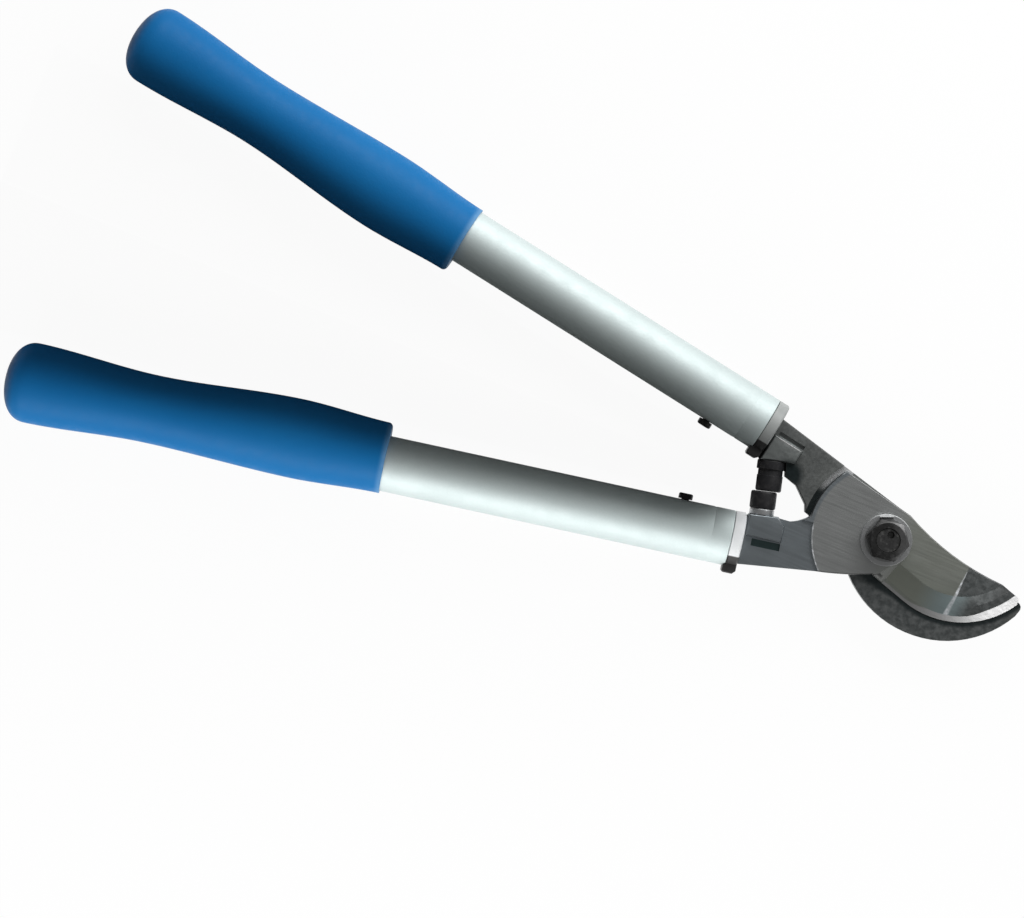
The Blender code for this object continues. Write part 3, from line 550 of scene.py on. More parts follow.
# Tubes and grips: the colours that noise mixes, and where a grip's ends change, from its front
TUBE_COLOURS = rgb(0.66, 0.735, 0.73), rgb(0.75, 0.825, 0.82)
GRIP_COLOURS = rgb(0.004, 0.145, 0.410), rgb(0.010, 0.190, 0.490)
# Painted highlight: the grip's lip is mixed paler; painted shade: its far end is darkened
GRIP_LIP_HIGHLIGHT = rgb(0.16, 0.36, 0.62)
GRIP_LIP_PLACES = (0.0, 0.0035)
GRIP_END_SHADE = rgb(0.008, 0.050, 0.130)
GRIP_END_PLACES = (GRIP_LENGTH - 0.0075, GRIP_LENGTH - 0.0005)
GRIP_END_SHADE_SHARE = 0.9

# Blade's body: distance from the pivot where its tang begins, places along X where the body
# turns olive, and the shade towards the hollow by distance from the edge and by place
TANG_COLOURS = rgb(0.32, 0.36, 0.38), rgb(0.41, 0.45, 0.48)
TANG_DISTANCES = (0.0366, 0.0378)
BODY_COLOURS = rgb(0.46, 0.475, 0.47), rgb(0.59, 0.605, 0.60)
OLIVE_COLOURS = rgb(0.43, 0.45, 0.395), rgb(0.54, 0.565, 0.52)
OLIVE_PLACES = (-0.002, 0.014)
SHADE_COLOUR = rgb(0.34, 0.37, 0.32)
SHADE_DISTANCES = (-0.024, -0.012)
SHADE_PLACES = (-0.004, 0.012)
SHADE_SHARE = 0.4

# Blade's tip and hollow grind: the step at the streak, the hollow's colour at the heel and at
# the tip, and the stretches along X where it ends and where painted shade darkens it
TIP_COLOURS = rgb(0.185, 0.200, 0.200), rgb(0.315, 0.335, 0.335)
TIP_STEP = (-0.0006, 0.0006)
HOLLOW_COLOURS = rgb(0.43, 0.455, 0.395), rgb(0.46, 0.56, 0.57)
HOLLOW_COLOUR_PLACES = (0.022, 0.040)
HOLLOW_END_PLACES = (0.043, 0.052)
HOLLOW_SHADE_COLOUR = grey(0.06)
HOLLOW_SHADE_STRETCHES = (((0.045, 0.056), 0.28), ((0.055, 0.065), 0.40))

# Blade's painted highlights: the pale streak across it, and the pale line where its tang begins
HIGHLIGHT_COLOUR = rgb(0.93, 0.95, 0.98)
HIGHLIGHT_ROUGHNESS = 0.32
STREAK_PLACE = 0.0434
STREAK_LEAN = 0.07
STREAK_HALF_WIDTH = 0.0002
STREAK_SPREAD = 0.0525
STREAK_FADE = (0.4, 1.3)
STREAK_THINNEST = 0.45
STREAK_TOP = (0.0, 0.0015)
STEP_RADIUS = 0.0370
STEP_FADE = (0.0001, 0.0005)
STEP_SHARE = 0.8
STEP_PLACES = (-0.02, -0.01)
STEP_TOP = (-0.009, -0.005)
STEP_THINNEST = 0.3

# Blade's bevel from heel to tip, the painted shade on its chamfered edges, and the slot in its tang
BEVEL_COLOURS = grey(0.62), grey(0.92)
BEVEL_COLOUR_PLACES = (0.018, 0.050)
BEVEL_WIDTH_PLACES = (0.020, 0.042)
BEVEL_FADE = (-0.0004, 0.0004)
BLADE_EDGE_SHADE = grey(0.10)
SLOT_COLOUR = rgb(0.100, 0.150, 0.150)
SLOT_PLACES = (-0.045, -0.040)
SLOT_HEIGHTS = (0.0028, 0.0032)

# Hook's zones: its tang and boss, its shoulder beside the blade, the groove's floor between them
# with painted light, and the jaw's belly. Places are along Y, distances from the pivot
HOOK_TANG_COLOURS = rgb(0.178, 0.188, 0.184), rgb(0.240, 0.251, 0.247)
BOSS_COLOURS = rgb(0.25, 0.27, 0.265), rgb(0.32, 0.34, 0.335)
SHOULDER_COLOURS = rgb(0.245, 0.258, 0.250), rgb(0.305, 0.318, 0.310)
SHOULDER_DISTANCES = (0.038, 0.052)
SHOULDER_PLACES = (0.009, 0.016)
LOW_HEIGHTS = (0.0005, 0.0015)
GROOVE_PAINTED_LIGHT = grey(0.80)
GROOVE_DISTANCES = (0.0360, 0.0372)
BELLY_COLOURS = rgb(0.130, 0.142, 0.142), rgb(0.240, 0.252, 0.252)
BELLY_PLACES = (-0.0160, -0.0110)

# Hook's painted shade: along the blade's edge, as wide as it is at two places along X, in the
# groove behind the blade, in the inner corner beside the upper bumper, and on chamfered edges
HOOK_SHADE_COLOUR = rgb(0.030, 0.042, 0.044)
EDGE_SHADE_SHARE = 0.85
EDGE_SHADE_FADE = (0.4, 1.0)
EDGE_SHADE_WIDTH_PLACES = (0.0, 0.016)
EDGE_SHADE_WIDTHS = (0.0062, 0.0034)
HOOK_SHADE_TOP = (0.009, 0.014)
BACK_PLACES = (-0.036, -0.030)
BACK_SHARE = 0.55
DARK_CORNER = (-0.0575, 0.0118, 0.0)
DARK_CORNER_DISTANCES = (0.0045, 0.0095)
DARK_CORNER_SHARE = 0.96
HOOK_EDGE_SHADE = grey(0.08)

# Painted highlight: a pale streak along the hook's boss, low on it and on top: its distance from
# the handle's centre line, and where it starts and ends along X
BOSS_HIGHLIGHT_COLOURS = rgb(0.54, 0.58, 0.58), grey(0.28)
BOSS_STREAK_HEIGHTS = (0.0045, 0.0060)
BOSS_STREAK_OFFSET = 0.0149
BOSS_STREAK_FADE = (0.0004, 0.0014)
BOSS_STREAK_START = (-0.070, -0.067)
BOSS_STREAK_END = (-0.062, -0.052)

# Painted highlight on black oxide, on the side towards the tip: how much Y counts beside X, and where
HIGHLIGHT_SIDE_TURN = 0.5
HIGHLIGHT_SIDE_PLACES = (0.001, 0.008)

# Sleeves: where the side with the lug begins, and its black
SLEEVE_BLACK_PLACES = (0.0082, 0.0088)
SLEEVE_BLACK = grey(0.022)


def tube_finish():
    """Satin anodised aluminium, with faint lines along the way that it was drawn."""
    finish = Finish("satin_aluminium", Metallic=0.85).follow_piece()
    lines = finish.noise(900.0, stretch=(0.006, 1.0, 1.0), detail=3.0)
    clouds = finish.noise(35.0, stretch=(0.3, 1.0, 1.0))
    finish.set("Base Color", finish.mix(clouds, *TUBE_COLOURS))
    wear_and_highlight = finish.rise(finish.noise(160.0), (0.35, 0.75), 0.05)
    finish.set("Roughness", finish.sum(finish.ranged(lines, *LINE_ENDS, 0.63, 0.71), wear_and_highlight))
    finish.bump(lines, strength=0.12, distance=0.0002)
    return finish.material


def grip_finish():
    """Blue moulded soft grip with a fine skin, a painted highlight at its lip and painted shade at its end."""
    finish = Finish("blue_soft_grip", Specular_IOR_Level=0.14).follow_piece()
    clouds = finish.noise(28.0, stretch=(0.5, 1.0, 1.0), detail=5.0)
    blue = finish.mix(clouds, *GRIP_COLOURS)
    from_front = finish.axes((TUBE_BARE_LENGTH, 0.0, 0.0))[0]
    lip = finish.fall(from_front, GRIP_LIP_PLACES)
    # painted highlight: paler patches on the lip
    rubbed_and_highlit = finish.product(lip, finish.ranged(finish.noise(120.0), *LINE_ENDS, 0.5, 1.0))
    # painted shade: the far end is darkened
    end = finish.rise(from_front, GRIP_END_PLACES, GRIP_END_SHADE_SHARE)
    blue = finish.mix(end, blue, GRIP_END_SHADE)
    finish.set("Base Color", finish.mix(rubbed_and_highlit, blue, GRIP_LIP_HIGHLIGHT))
    finish.rough(finish.noise(240.0), 0.42, 0.56)
    cells = finish.add("ShaderNodeTexVoronoi", Vector=finish.place, Scale=900.0)
    finish.bump(cells.outputs["Distance"], strength=0.10, distance=0.0003)
    finish.bump(finish.noise(60.0), strength=0.10, distance=0.0008)
    return finish.material


def blade_finish():
    """Ground steel: a bright bevel, a bluish hollow grind with painted shade near the tip, painted highlights as a
    pale streak and on the tang's step, painted shade on the chamfers, and a mottled tip.
    """
    finish = Finish("ground_steel", Metallic=1.0).follow_piece()
    x, y, z = finish.axes()
    bevel = finish.attribute("bevel")
    hollow = finish.attribute("hollow")
    from_pivot = finish.distance((0.0, 0.0, 0.0))
    from_edge = finish.from_edge()
    from_streak = finish.sum(
        finish.math("SUBTRACT", x, STREAK_PLACE), finish.product(y, -STREAK_LEAN)
    )
    clouds = finish.noise(90.0, stretch=THROUGH_PLATE, detail=6.0, roughness=0.6)
    mottle = finish.noise(330.0, stretch=THROUGH_PLATE, detail=5.0, roughness=0.7)
    mottle = finish.rise(mottle, MOTTLE_ENDS)

    body = finish.mix(clouds, *BODY_COLOURS)
    tang = finish.mix(clouds, *TANG_COLOURS)
    colour = finish.mix(finish.rise(from_pivot, TANG_DISTANCES), body, tang)
    olive = finish.mix(clouds, *OLIVE_COLOURS)
    colour = finish.mix(finish.rise(x, OLIVE_PLACES), colour, olive)
    shade = finish.rise(from_edge, SHADE_DISTANCES, SHADE_SHARE)
    shade = finish.product(shade, finish.rise(x, SHADE_PLACES))
    colour = finish.mix(shade, colour, SHADE_COLOUR)
    tip = finish.mix(mottle, *TIP_COLOURS)
    colour = finish.mix(finish.rise(from_streak, TIP_STEP), colour, tip)
    ground = finish.mix(finish.rise(x, HOLLOW_COLOUR_PLACES), *HOLLOW_COLOURS)
    in_hollow = finish.product(hollow, finish.fall(x, HOLLOW_END_PLACES))
    colour = finish.mix(in_hollow, colour, ground)
    # painted shade: the hollow is darkened near the tip
    hollow_shade = finish.sum(*(finish.rise(x, ends, share) for ends, share in HOLLOW_SHADE_STRETCHES))
    colour = finish.mix(finish.product(hollow, hollow_shade), colour, HOLLOW_SHADE_COLOUR)

    # painted highlights: the pale streak across the blade and the pale line on the tang's step
    half = finish.sum(finish.product(y, -STREAK_SPREAD), STREAK_HALF_WIDTH)
    half = finish.math("MAXIMUM", half, STREAK_HALF_WIDTH / 2)
    across = finish.math("DIVIDE", finish.math("ABSOLUTE", from_streak), half)
    streak = finish.product(
        finish.fall(across, STREAK_FADE), finish.ranged(mottle, 0.0, 1.0, STREAK_THINNEST, 1.0),
        finish.math("SUBTRACT", 1.0, bevel), finish.fall(y, STREAK_TOP),
    )
    step = finish.product(
        finish.fall(finish.away(from_pivot, STEP_RADIUS), STEP_FADE, STEP_SHARE),
        finish.fall(x, STEP_PLACES), finish.fall(y, STEP_TOP),
        finish.ranged(mottle, 0.0, 1.0, STEP_THINNEST, 1.0),
    )
    wear_and_highlight = finish.math("MAXIMUM", streak, step)
    colour = finish.mix(wear_and_highlight, colour, HIGHLIGHT_COLOUR)

    width = finish.ranged(
        x, *BEVEL_WIDTH_PLACES, BEVEL_HEEL_WIDTH, BEVEL_WIDTH + BEVEL_TIP_EXTRA
    )
    in_bevel = finish.product(bevel, finish.rise(finish.sum(from_edge, width), BEVEL_FADE))
    shine = finish.mix(finish.rise(x, BEVEL_COLOUR_PLACES), *BEVEL_COLOURS)
    colour = finish.mix(in_bevel, colour, shine)
    # painted shade: the chamfered edges are darkened
    colour = finish.mix(finish.chamfers(), colour, BLADE_EDGE_SHADE)
    slot = finish.product(finish.fall(x, SLOT_PLACES), finish.fall(z, SLOT_HEIGHTS))
    finish.set("Base Color", finish.mix(slot, colour, SLOT_COLOUR))

    lines = finish.noise(1300.0, stretch=(0.03, 1.0, 1.0), detail=2.0)
    rough = finish.ranged(lines, *LINE_ENDS, 0.36, 0.46)
    finish.set("Roughness", finish.sum(rough, finish.product(wear_and_highlight, HIGHLIGHT_ROUGHNESS)))
    finish.bump(lines, strength=0.06, distance=0.0001)
    return finish.material


def hook_finish():
    """Tumbled forged steel, with painted shade under the blade's edge, behind the blade and by the bumper, painted
    light on the groove's floor, and a painted highlight along the boss.
    """
    finish = Finish("forged_steel", Metallic=1.0).follow_piece()
    x, y, z = finish.axes()
    from_pivot = finish.distance((0.0, 0.0, 0.0))
    low = finish.fall(z, LOW_HEIGHTS)
    clouds = finish.noise(70.0, detail=6.0, roughness=0.65)
    tang = finish.mix(clouds, *HOOK_TANG_COLOURS)
    boss = finish.mix(clouds, *BOSS_COLOURS)
    colour = finish.mix(finish.rise(z, BOSS_HEIGHTS), tang, boss)
    # painted light: the groove's floor is lightened where it lies in shadow
    groove = finish.product(low, finish.rise(from_pivot, GROOVE_DISTANCES))
    shoulder = finish.mix(groove, finish.mix(clouds, *SHOULDER_COLOURS), GROOVE_PAINTED_LIGHT)
    by_blade = finish.fall(from_pivot, SHOULDER_DISTANCES)
    by_blade = finish.product(by_blade, finish.rise(y, SHOULDER_PLACES))
    colour = finish.mix(by_blade, colour, shoulder)
    specks = finish.rise(finish.noise(330.0, detail=5.0), NOISE_ENDS)
    belly = finish.mix(specks, *BELLY_COLOURS)
    colour = finish.mix(finish.fall(y, BELLY_PLACES), colour, belly)

    # painted shade: under the blade's edge, in the groove behind the blade and in the corner by the upper bumper
    below = finish.product(low, finish.fall(y, HOOK_SHADE_TOP))
    reach = finish.ranged(x, *EDGE_SHADE_WIDTH_PLACES, *EDGE_SHADE_WIDTHS)
    by_edge = finish.math("DIVIDE", finish.from_edge(), reach)
    by_edge = finish.product(below, finish.fall(by_edge, EDGE_SHADE_FADE, EDGE_SHADE_SHARE))
    corner = finish.distance(DARK_CORNER)
    corner = finish.fall(corner, DARK_CORNER_DISTANCES, DARK_CORNER_SHARE)
    back = finish.product(below, finish.fall(x, BACK_PLACES, BACK_SHARE))
    painted_shade = finish.math("MAXIMUM", by_edge, finish.math("MAXIMUM", corner, back))
    colour = finish.mix(painted_shade, colour, HOOK_SHADE_COLOUR)
    # painted shade: the chamfered edges are darkened
    colour = finish.mix(finish.chamfers(), colour, HOOK_EDGE_SHADE)

    # painted highlight: a pale streak along the boss
    turn = math.radians(HANDLE_DEGREES)
    out = finish.sum(finish.product(x, math.sin(turn)), finish.product(y, math.cos(turn)))
    streak = finish.product(
        finish.fall(finish.away(out, BOSS_STREAK_OFFSET), BOSS_STREAK_FADE),
        finish.rise(x, BOSS_STREAK_START), finish.fall(x, BOSS_STREAK_END),
    )
    pale = finish.mix(finish.rise(z, BOSS_STREAK_HEIGHTS), *BOSS_HIGHLIGHT_COLOURS)
    finish.set("Base Color", finish.mix(streak, colour, pale))
    pits = finish.noise(700.0, detail=3.0)
    finish.rough(pits, 0.42, 0.56)
    finish.bump(pits, strength=0.12, distance=0.0002)
    finish.bump(finish.noise(110.0), strength=0.15, distance=0.0006)
    return finish.material


def black_finish(name, dark, rubbed_and_highlit, highlight_side=0.0):
    """Oiled black oxide, abraded thin in places, and lighter on the side towards the tip by highlight_side, a
    painted highlight.
    """
    finish = Finish(name, Metallic=0.85).follow_piece()
    thin = finish.rise(finish.noise(420.0, detail=6.0), (0.50, 0.72))
    colour = finish.mix(thin, dark, rubbed_and_highlit)
    # painted highlight: lighter on the side towards the tip
    if highlight_side:
        x, y, z = finish.axes()
        wear_and_highlight = finish.rise(finish.sum(x, finish.product(y, HIGHLIGHT_SIDE_TURN)), HIGHLIGHT_SIDE_PLACES)
        colour = finish.mix(wear_and_highlight, colour, grey(highlight_side))
    finish.set("Base Color", colour)
    finish.rough(finish.noise(900.0), 0.34, 0.50)
    finish.bump(finish.noise(1500.0), strength=0.10, distance=0.0001)
    return finish.material


def plated_finish(name, dark, light):
    """Zinc plate with a faint bloom."""
    finish = Finish(name, Metallic=1.0)
    finish.set("Base Color", finish.mix(finish.noise(300.0, detail=5.0), dark, light))
    finish.rough(finish.noise(1200.0), 0.34, 0.46)
    finish.bump(finish.noise(2000.0), strength=0.08, distance=0.0001)
    return finish.material


def grained_finish(finish, colour, smoothest, roughest):
    """Moulded nylon of this colour, with a fine spark-eroded grain."""
    finish.set("Base Color", colour)
    grain = finish.noise(2600.0, detail=2.0)
    finish.rough(grain, smoothest, roughest)
    finish.bump(grain, strength=0.10, distance=0.0001)
    return finish.material


def sleeve_finish(name, dark, light):
    """Grey moulded nylon, black on the side with the lug."""
    finish = Finish(name).follow_piece()
    pale = finish.mix(finish.noise(150.0), dark, light)
    lug = finish.rise(finish.axes()[1], SLEEVE_BLACK_PLACES)
    return grained_finish(finish, finish.mix(lug, pale, SLEEVE_BLACK), 0.36, 0.48)


def plug_finish():
    finish = Finish("plug_nylon")
    colour = finish.mix(finish.noise(150.0), grey(0.020), grey(0.035))
    return grained_finish(finish, colour, 0.40, 0.52)


def bronze_finish():
    """Sintered bronze, darker in its pores."""
    finish = Finish("sintered_bronze", Metallic=1.0)
    pores = finish.noise(2500.0, detail=2.0)
    finish.set("Base Color", finish.mix(pores, rgb(0.42, 0.27, 0.12), rgb(0.60, 0.42, 0.20)))
    finish.rough(pores, 0.34, 0.50)
    finish.bump(pores, strength=0.10, distance=0.0001)
    return finish.material


def rubber_finish():
    """Black rubber with a little dust."""
    finish = Finish("black_rubber", Specular_IOR_Level=0.4)
    dust = finish.rise(finish.noise(260.0, detail=6.0), (0.45, 0.75))
    colour = finish.mix(dust, rgb(0.012, 0.012, 0.014), rgb(0.035, 0.033, 0.034))
    finish.set("Base Color", colour)
    finish.rough(finish.noise(800.0), 0.42, 0.62)
    finish.bump(finish.noise(1400.0), strength=0.15, distance=0.0001)
    return finish.material


FINISHES = {
    "tube": tube_finish(),
    "grip": grip_finish(),
    "blade": blade_finish(),
    "hook": hook_finish(),
    "black": black_finish("black_oxide", grey(0.025), rgb(0.075, 0.073, 0.070)),
    # painted highlight on the nut's side towards the tip
    "nut": black_finish("worn_black_oxide", grey(0.050), grey(0.115), highlight_side=0.15),
    "bolt": black_finish("rubbed_black_oxide", grey(0.085), rgb(0.20, 0.20, 0.195)),
    "zinc": plated_finish("zinc_plate", rgb(0.50, 0.51, 0.53), rgb(0.66, 0.67, 0.67)),
    "washer": plated_finish("worn_zinc_plate", rgb(0.50, 0.51, 0.52), rgb(0.62, 0.63, 0.63)),
    "tab": plated_finish("dull_zinc_plate", rgb(0.40, 0.41, 0.41), rgb(0.50, 0.51, 0.51)),
    "bronze": bronze_finish(),
    # The two sleeves: one nylon in two tones, the upper darker with painted shade and the lower paler with painted
    # light
    "upper_sleeve": sleeve_finish(
        "sleeve_nylon", rgb(0.33, 0.345, 0.34), rgb(0.41, 0.43, 0.42)
    ),
    "lower_sleeve": sleeve_finish(
        "pale_sleeve_nylon", rgb(0.78, 0.80, 0.81), rgb(0.88, 0.90, 0.91)
    ),
    "plug": plug_finish(),
    "rubber": rubber_finish(),
}


def make_tube(handle):
    """The drawn tube, with a faint crimp behind its mouth."""
    bore = TUBE_RADIUS - TUBE_WALL
    profile = [(bore, 0.0, TUBE_MOUTH_RADIUS / 2), (TUBE_RADIUS, 0.0, TUBE_MOUTH_RADIUS)]
    profile += [(TUBE_RADIUS, CRIMP_PLACE - CRIMP_HALF_WIDTH)]
    profile += [(TUBE_RADIUS - CRIMP_DEPTH, CRIMP_PLACE, CRIMP_HALF_WIDTH)]
    profile += [(TUBE_RADIUS, CRIMP_PLACE + CRIMP_HALF_WIDTH)]
    profile += [(TUBE_RADIUS, TUBE_LENGTH), (bore, TUBE_LENGTH)]
    shape = turned(rounded(profile), ring=True)
    node = handle.name + "_tube"
    return add_piece(node + "_drawn", shape, handle.lying(), FINISHES["tube"], node)


def grip_section(place):
    """The grip's half width, half height and shift at a place along it."""
    for near, far in zip(GRIP_STATIONS, GRIP_STATIONS[1:]):
        if place < far[0]:
            share = eased(max(0.0, (place - near[0]) / (far[0] - near[0])))
            return [first + (last - first) * share for first, last in zip(near[1:], far[1:])]
    return GRIP_STATIONS[-1][1:]


def grip_ring(place, side, shrink=0.0, scale=1.0):
    """One oval section; shrink draws in its top, its bottom and its inner side."""
    half_width, half_height, shift = grip_section(place)
    power = 2 / GRIP_SECTION_POWER
    ring = []
    for i in range(GRIP_STEPS):
        angle = math.tau * i / GRIP_STEPS
        across = math.copysign(abs(math.cos(angle)) ** power, math.cos(angle))
        up = math.copysign(abs(math.sin(angle)) ** power, math.sin(angle))
        y = side * (shift - shrink) + across * scale * (half_width - shrink)
        ring.append((TUBE_BARE_LENGTH + place, y, up * scale * (half_height - shrink)))
    return ring


def bore_ring(place, radius):
    return [(TUBE_BARE_LENGTH + place, y, z) for y, z, _ in round_ring(radius, 0.0, GRIP_STEPS)]


def make_grip(handle):
    """The soft grip: domed end, flare, waist, bulge, rounded lip and the bore for the tube."""
    side = handle.side
    rings = [grip_ring(GRIP_LENGTH, side, scale=GRIP_END_SCALE)]
    power = 2 / GRIP_DOME_POWER
    for i in range(GRIP_DOME_RINGS, 0, -1):
        angle = math.pi / 2 * i / (GRIP_DOME_RINGS + 1)
        place = GRIP_FLARE_PLACE + (GRIP_LENGTH - GRIP_FLARE_PLACE) * math.sin(angle) ** power
        rings.append(grip_ring(place, side, scale=math.cos(angle) ** power))
    for i in range(GRIP_BODY_RINGS + 1):
        place = GRIP_FLARE_PLACE + (GRIP_LIP - GRIP_FLARE_PLACE) * i / GRIP_BODY_RINGS
        rings.append(grip_ring(place, side))
    for i in range(1, GRIP_LIP_RINGS + 1):
        angle = math.pi / 2 * i / GRIP_LIP_RINGS
        shrink = GRIP_LIP_STEP * (1 - math.cos(angle))
        rings.append(grip_ring(GRIP_LIP * (1 - math.sin(angle)), side, shrink))
    bore = TUBE_RADIUS + SEAT_GAP
    rings.append(bore_ring(0.0, bore))
    rings.append(bore_ring(TUBE_IN_GRIP + PLUG_ROOM, bore))
    node = handle.name + "_grip"
    return add_piece(
        node + "_moulded", lofted(rings), handle.along, FINISHES["grip"], node, GRIP_SHARP_DEGREES
    )


def make_screw(handle):
    """A socket screw with a rounded head."""
    seat = TUBE_RADIUS + SEAT_GAP
    top = seat + SCREW_HEAD_HEIGHT
    steps = SMALL_STEPS
    rings = [round_ring(SCREW_RADIUS, SCREW_TIP, steps), round_ring(SCREW_RADIUS, seat, steps)]
    rings.append(round_ring(SCREW_HEAD_RADIUS, seat, steps))
    for i in range(CORNER_STEPS + 1):
        angle = math.pi / 2 * i / CORNER_STEPS
        radius = SCREW_HEAD_RADIUS - SCREW_CROWN * (1 - math.cos(angle))
        rings.append(round_ring(radius, top - SCREW_CROWN * (1 - math.sin(angle)), steps))
    rings.append(hexagon_ring(SOCKET_FLATS, top, steps))
    rings.append(hexagon_ring(SOCKET_FLATS, top - SOCKET_DEPTH, steps))
    node = handle.name + "_tang_screw"
    placement = handle.along @ Matrix.Translation((SCREW_PLACE, 0.0, 0.0))
    placement = placement @ Matrix.Rotation(-handle.side * math.pi / 2, 4, "X")
    return add_piece(node + "_turned", lofted(rings), placement, FINISHES["black"], node)


def bumper_placement(degrees, shift=0.0):
    """A turned piece's axes laid along the bumpers' axis, shifted towards the handles."""
    slant = math.radians(BUMPER_DEGREES)
    place = PIVOT + BUMPER_MEET - shift * Vector((math.sin(slant), -math.cos(slant), 0.0))
    turn = Matrix.Rotation(math.radians(degrees), 4, "Z") @ Matrix.Rotation(math.pi / 2, 4, "Y")
    return Matrix.Translation(place) @ turn


def make_bumpers():
    """The two rubber pads, the upper one on a stem with a foot, and the lower one's stud."""
    start = [(0.0, RUBBER_GAP), (BUMPER_RADIUS, RUBBER_GAP, BUMPER_EDGE)]
    bore = [(STUD_BORE, STUD_COVER), (0.0, STUD_COVER)]
    seat = UPPER_SEAT - RUBBER_GAP
    foot = seat - UPPER_FOOT_HEIGHT
    upper = [
        (BUMPER_RADIUS, UPPER_PAD_HEIGHT, UPPER_STEM_EDGE),
        (UPPER_STEM_RADIUS, UPPER_PAD_HEIGHT, UPPER_STEM_EDGE), (UPPER_STEM_RADIUS, foot),
        (UPPER_FOOT_RADIUS, foot, SMALL_EDGE), (UPPER_FOOT_RADIUS, seat, SMALL_EDGE),
        (STUD_BORE, seat),
    ]
    shape = turned(rounded(start + upper + bore), SMALL_STEPS)
    placement = bumper_placement(BUMPER_DEGREES)
    add_piece("upper_bumper_moulded", shape, placement, FINISHES["rubber"], "upper_bumper")

    lower = [(BUMPER_RADIUS, LOWER_PAD_HEIGHT, BUMPER_EDGE), (STUD_BORE, LOWER_PAD_HEIGHT)]
    shape = turned(rounded(start + lower + bore), SMALL_STEPS)
    placement = bumper_placement(BUMPER_DEGREES + 180.0, LOWER_BUMPER_SHIFT)
    add_piece("lower_bumper_moulded", shape, placement, FINISHES["rubber"], "lower_bumper")

    top = STUD_COVER + SEAT_GAP
    collar = LOWER_PAD_HEIGHT + RUBBER_GAP
    seat = LOWER_SEAT - RUBBER_GAP
    stud = [
        (0.0, top), (STUD_RADIUS, top), (STUD_RADIUS, collar),
        (COLLAR_RADIUS, collar, SMALL_EDGE), (COLLAR_RADIUS, seat, SMALL_EDGE),
        (STUD_RADIUS, seat), (STUD_RADIUS, STUD_END), (0.0, STUD_END),
    ]
    shape = turned(rounded(stud), SMALL_STEPS)
    add_piece("lower_bumper_stud_turned", shape, placement, FINISHES["zinc"], "lower_bumper_stud")


def threads(radius, start, end, steps):
    """Rings up a threaded stretch of shank, as grooves of the thread's depth."""
    rings = []
    for i in range(int((end - start) / THREAD_PITCH)):
        foot = start + i * THREAD_PITCH
        rings.append(round_ring(radius - THREAD_DEPTH, foot + THREAD_PITCH / 2, steps))
        rings.append(round_ring(radius, foot + THREAD_PITCH, steps))
    return rings


def make_bolt():
    """The pivot bolt, as one loft from the hexagon head up to the staked end."""
    steps = ROUND_STEPS
    flange_top = HOOK_BACK - SEAT_GAP
    flange_low = flange_top - BOLT_FLANGE_HEIGHT
    head_low = flange_low - BOLT_HEAD_HEIGHT
    neck_top = flange_top + BOLT_NECK_LENGTH
    end = NUT_BASE + NUT_HEIGHT - BOLT_END_SINK
    face = BOLT_HEAD_FLATS / 2 * BOLT_HEAD_FACE
    rings = [
        round_ring(face, head_low, steps),
        hexagon_ring(BOLT_HEAD_FLATS, head_low, steps, face, -HEXAGON_SLOPE),
        hexagon_ring(BOLT_HEAD_FLATS, flange_low, steps),
        round_ring(BOLT_FLANGE_RADIUS - WASHER_EDGE, flange_low, steps),
        round_ring(BOLT_FLANGE_RADIUS, flange_low + WASHER_EDGE, steps),
        round_ring(BOLT_FLANGE_RADIUS, flange_top, steps),
        square_ring(BOLT_NECK_HALF, flange_top, steps),
        square_ring(BOLT_NECK_HALF, neck_top, steps),
        round_ring(BOLT_RADIUS, neck_top, steps),
        round_ring(BOLT_RADIUS, NUT_BASE, steps),
        *threads(BOLT_RADIUS, NUT_BASE, end - BOLT_END_CHAMFER, steps),
        round_ring(BOLT_RADIUS - BOLT_END_CHAMFER, end, steps),
    ]
    floor = (NOTCH_RADIUS * NOTCH_FLOOR, end - NOTCH_DEPTH)
    for radius, height in ((NOTCH_RADIUS, end), floor):
        ring = round_ring(radius, height, steps)
        rings.append([(x + NOTCH_PLACE[0], y + NOTCH_PLACE[1], z) for x, y, z in ring])
    add_piece("pivot_bolt_turned", lofted(rings), HEAD, FINISHES["bolt"], "pivot_bolt")


def make_washer():
    top = WASHER_BASE + WASHER_HEIGHT
    hole = BOLT_RADIUS + SEAT_GAP
    profile = [
        (hole, WASHER_BASE, WASHER_EDGE), (WASHER_RADIUS, WASHER_BASE, WASHER_EDGE),
        (WASHER_RADIUS, top, WASHER_EDGE), (hole, top, WASHER_EDGE),
    ]
    shape = turned(rounded(profile), ring=True)
    add_piece("thrust_washer_stamped", shape, HEAD, FINISHES["washer"], "thrust_washer")


def make_nut():
    """A hexagon nut with a turned crown and a countersunk thread."""
    steps = ROUND_STEPS
    top = NUT_BASE + NUT_HEIGHT
    hole = BOLT_RADIUS + THREAD_GAP
    crown = NUT_FLATS / 2 * NUT_CROWN
    rings = [
        round_ring(hole, NUT_BASE, steps), hexagon_ring(NUT_FLATS, NUT_BASE, steps),
        hexagon_ring(NUT_FLATS, top, steps, crown, HEXAGON_SLOPE), round_ring(crown, top, steps),
        round_ring(hole + NUT_SINK, top, steps), round_ring(hole, top - NUT_SINK, steps),
    ]
    shape = lofted(rings, hollow=True)
    add_piece("pivot_nut_forged", shape, HEAD, FINISHES["nut"], "pivot_nut", NUT_SHARP_DEGREES)


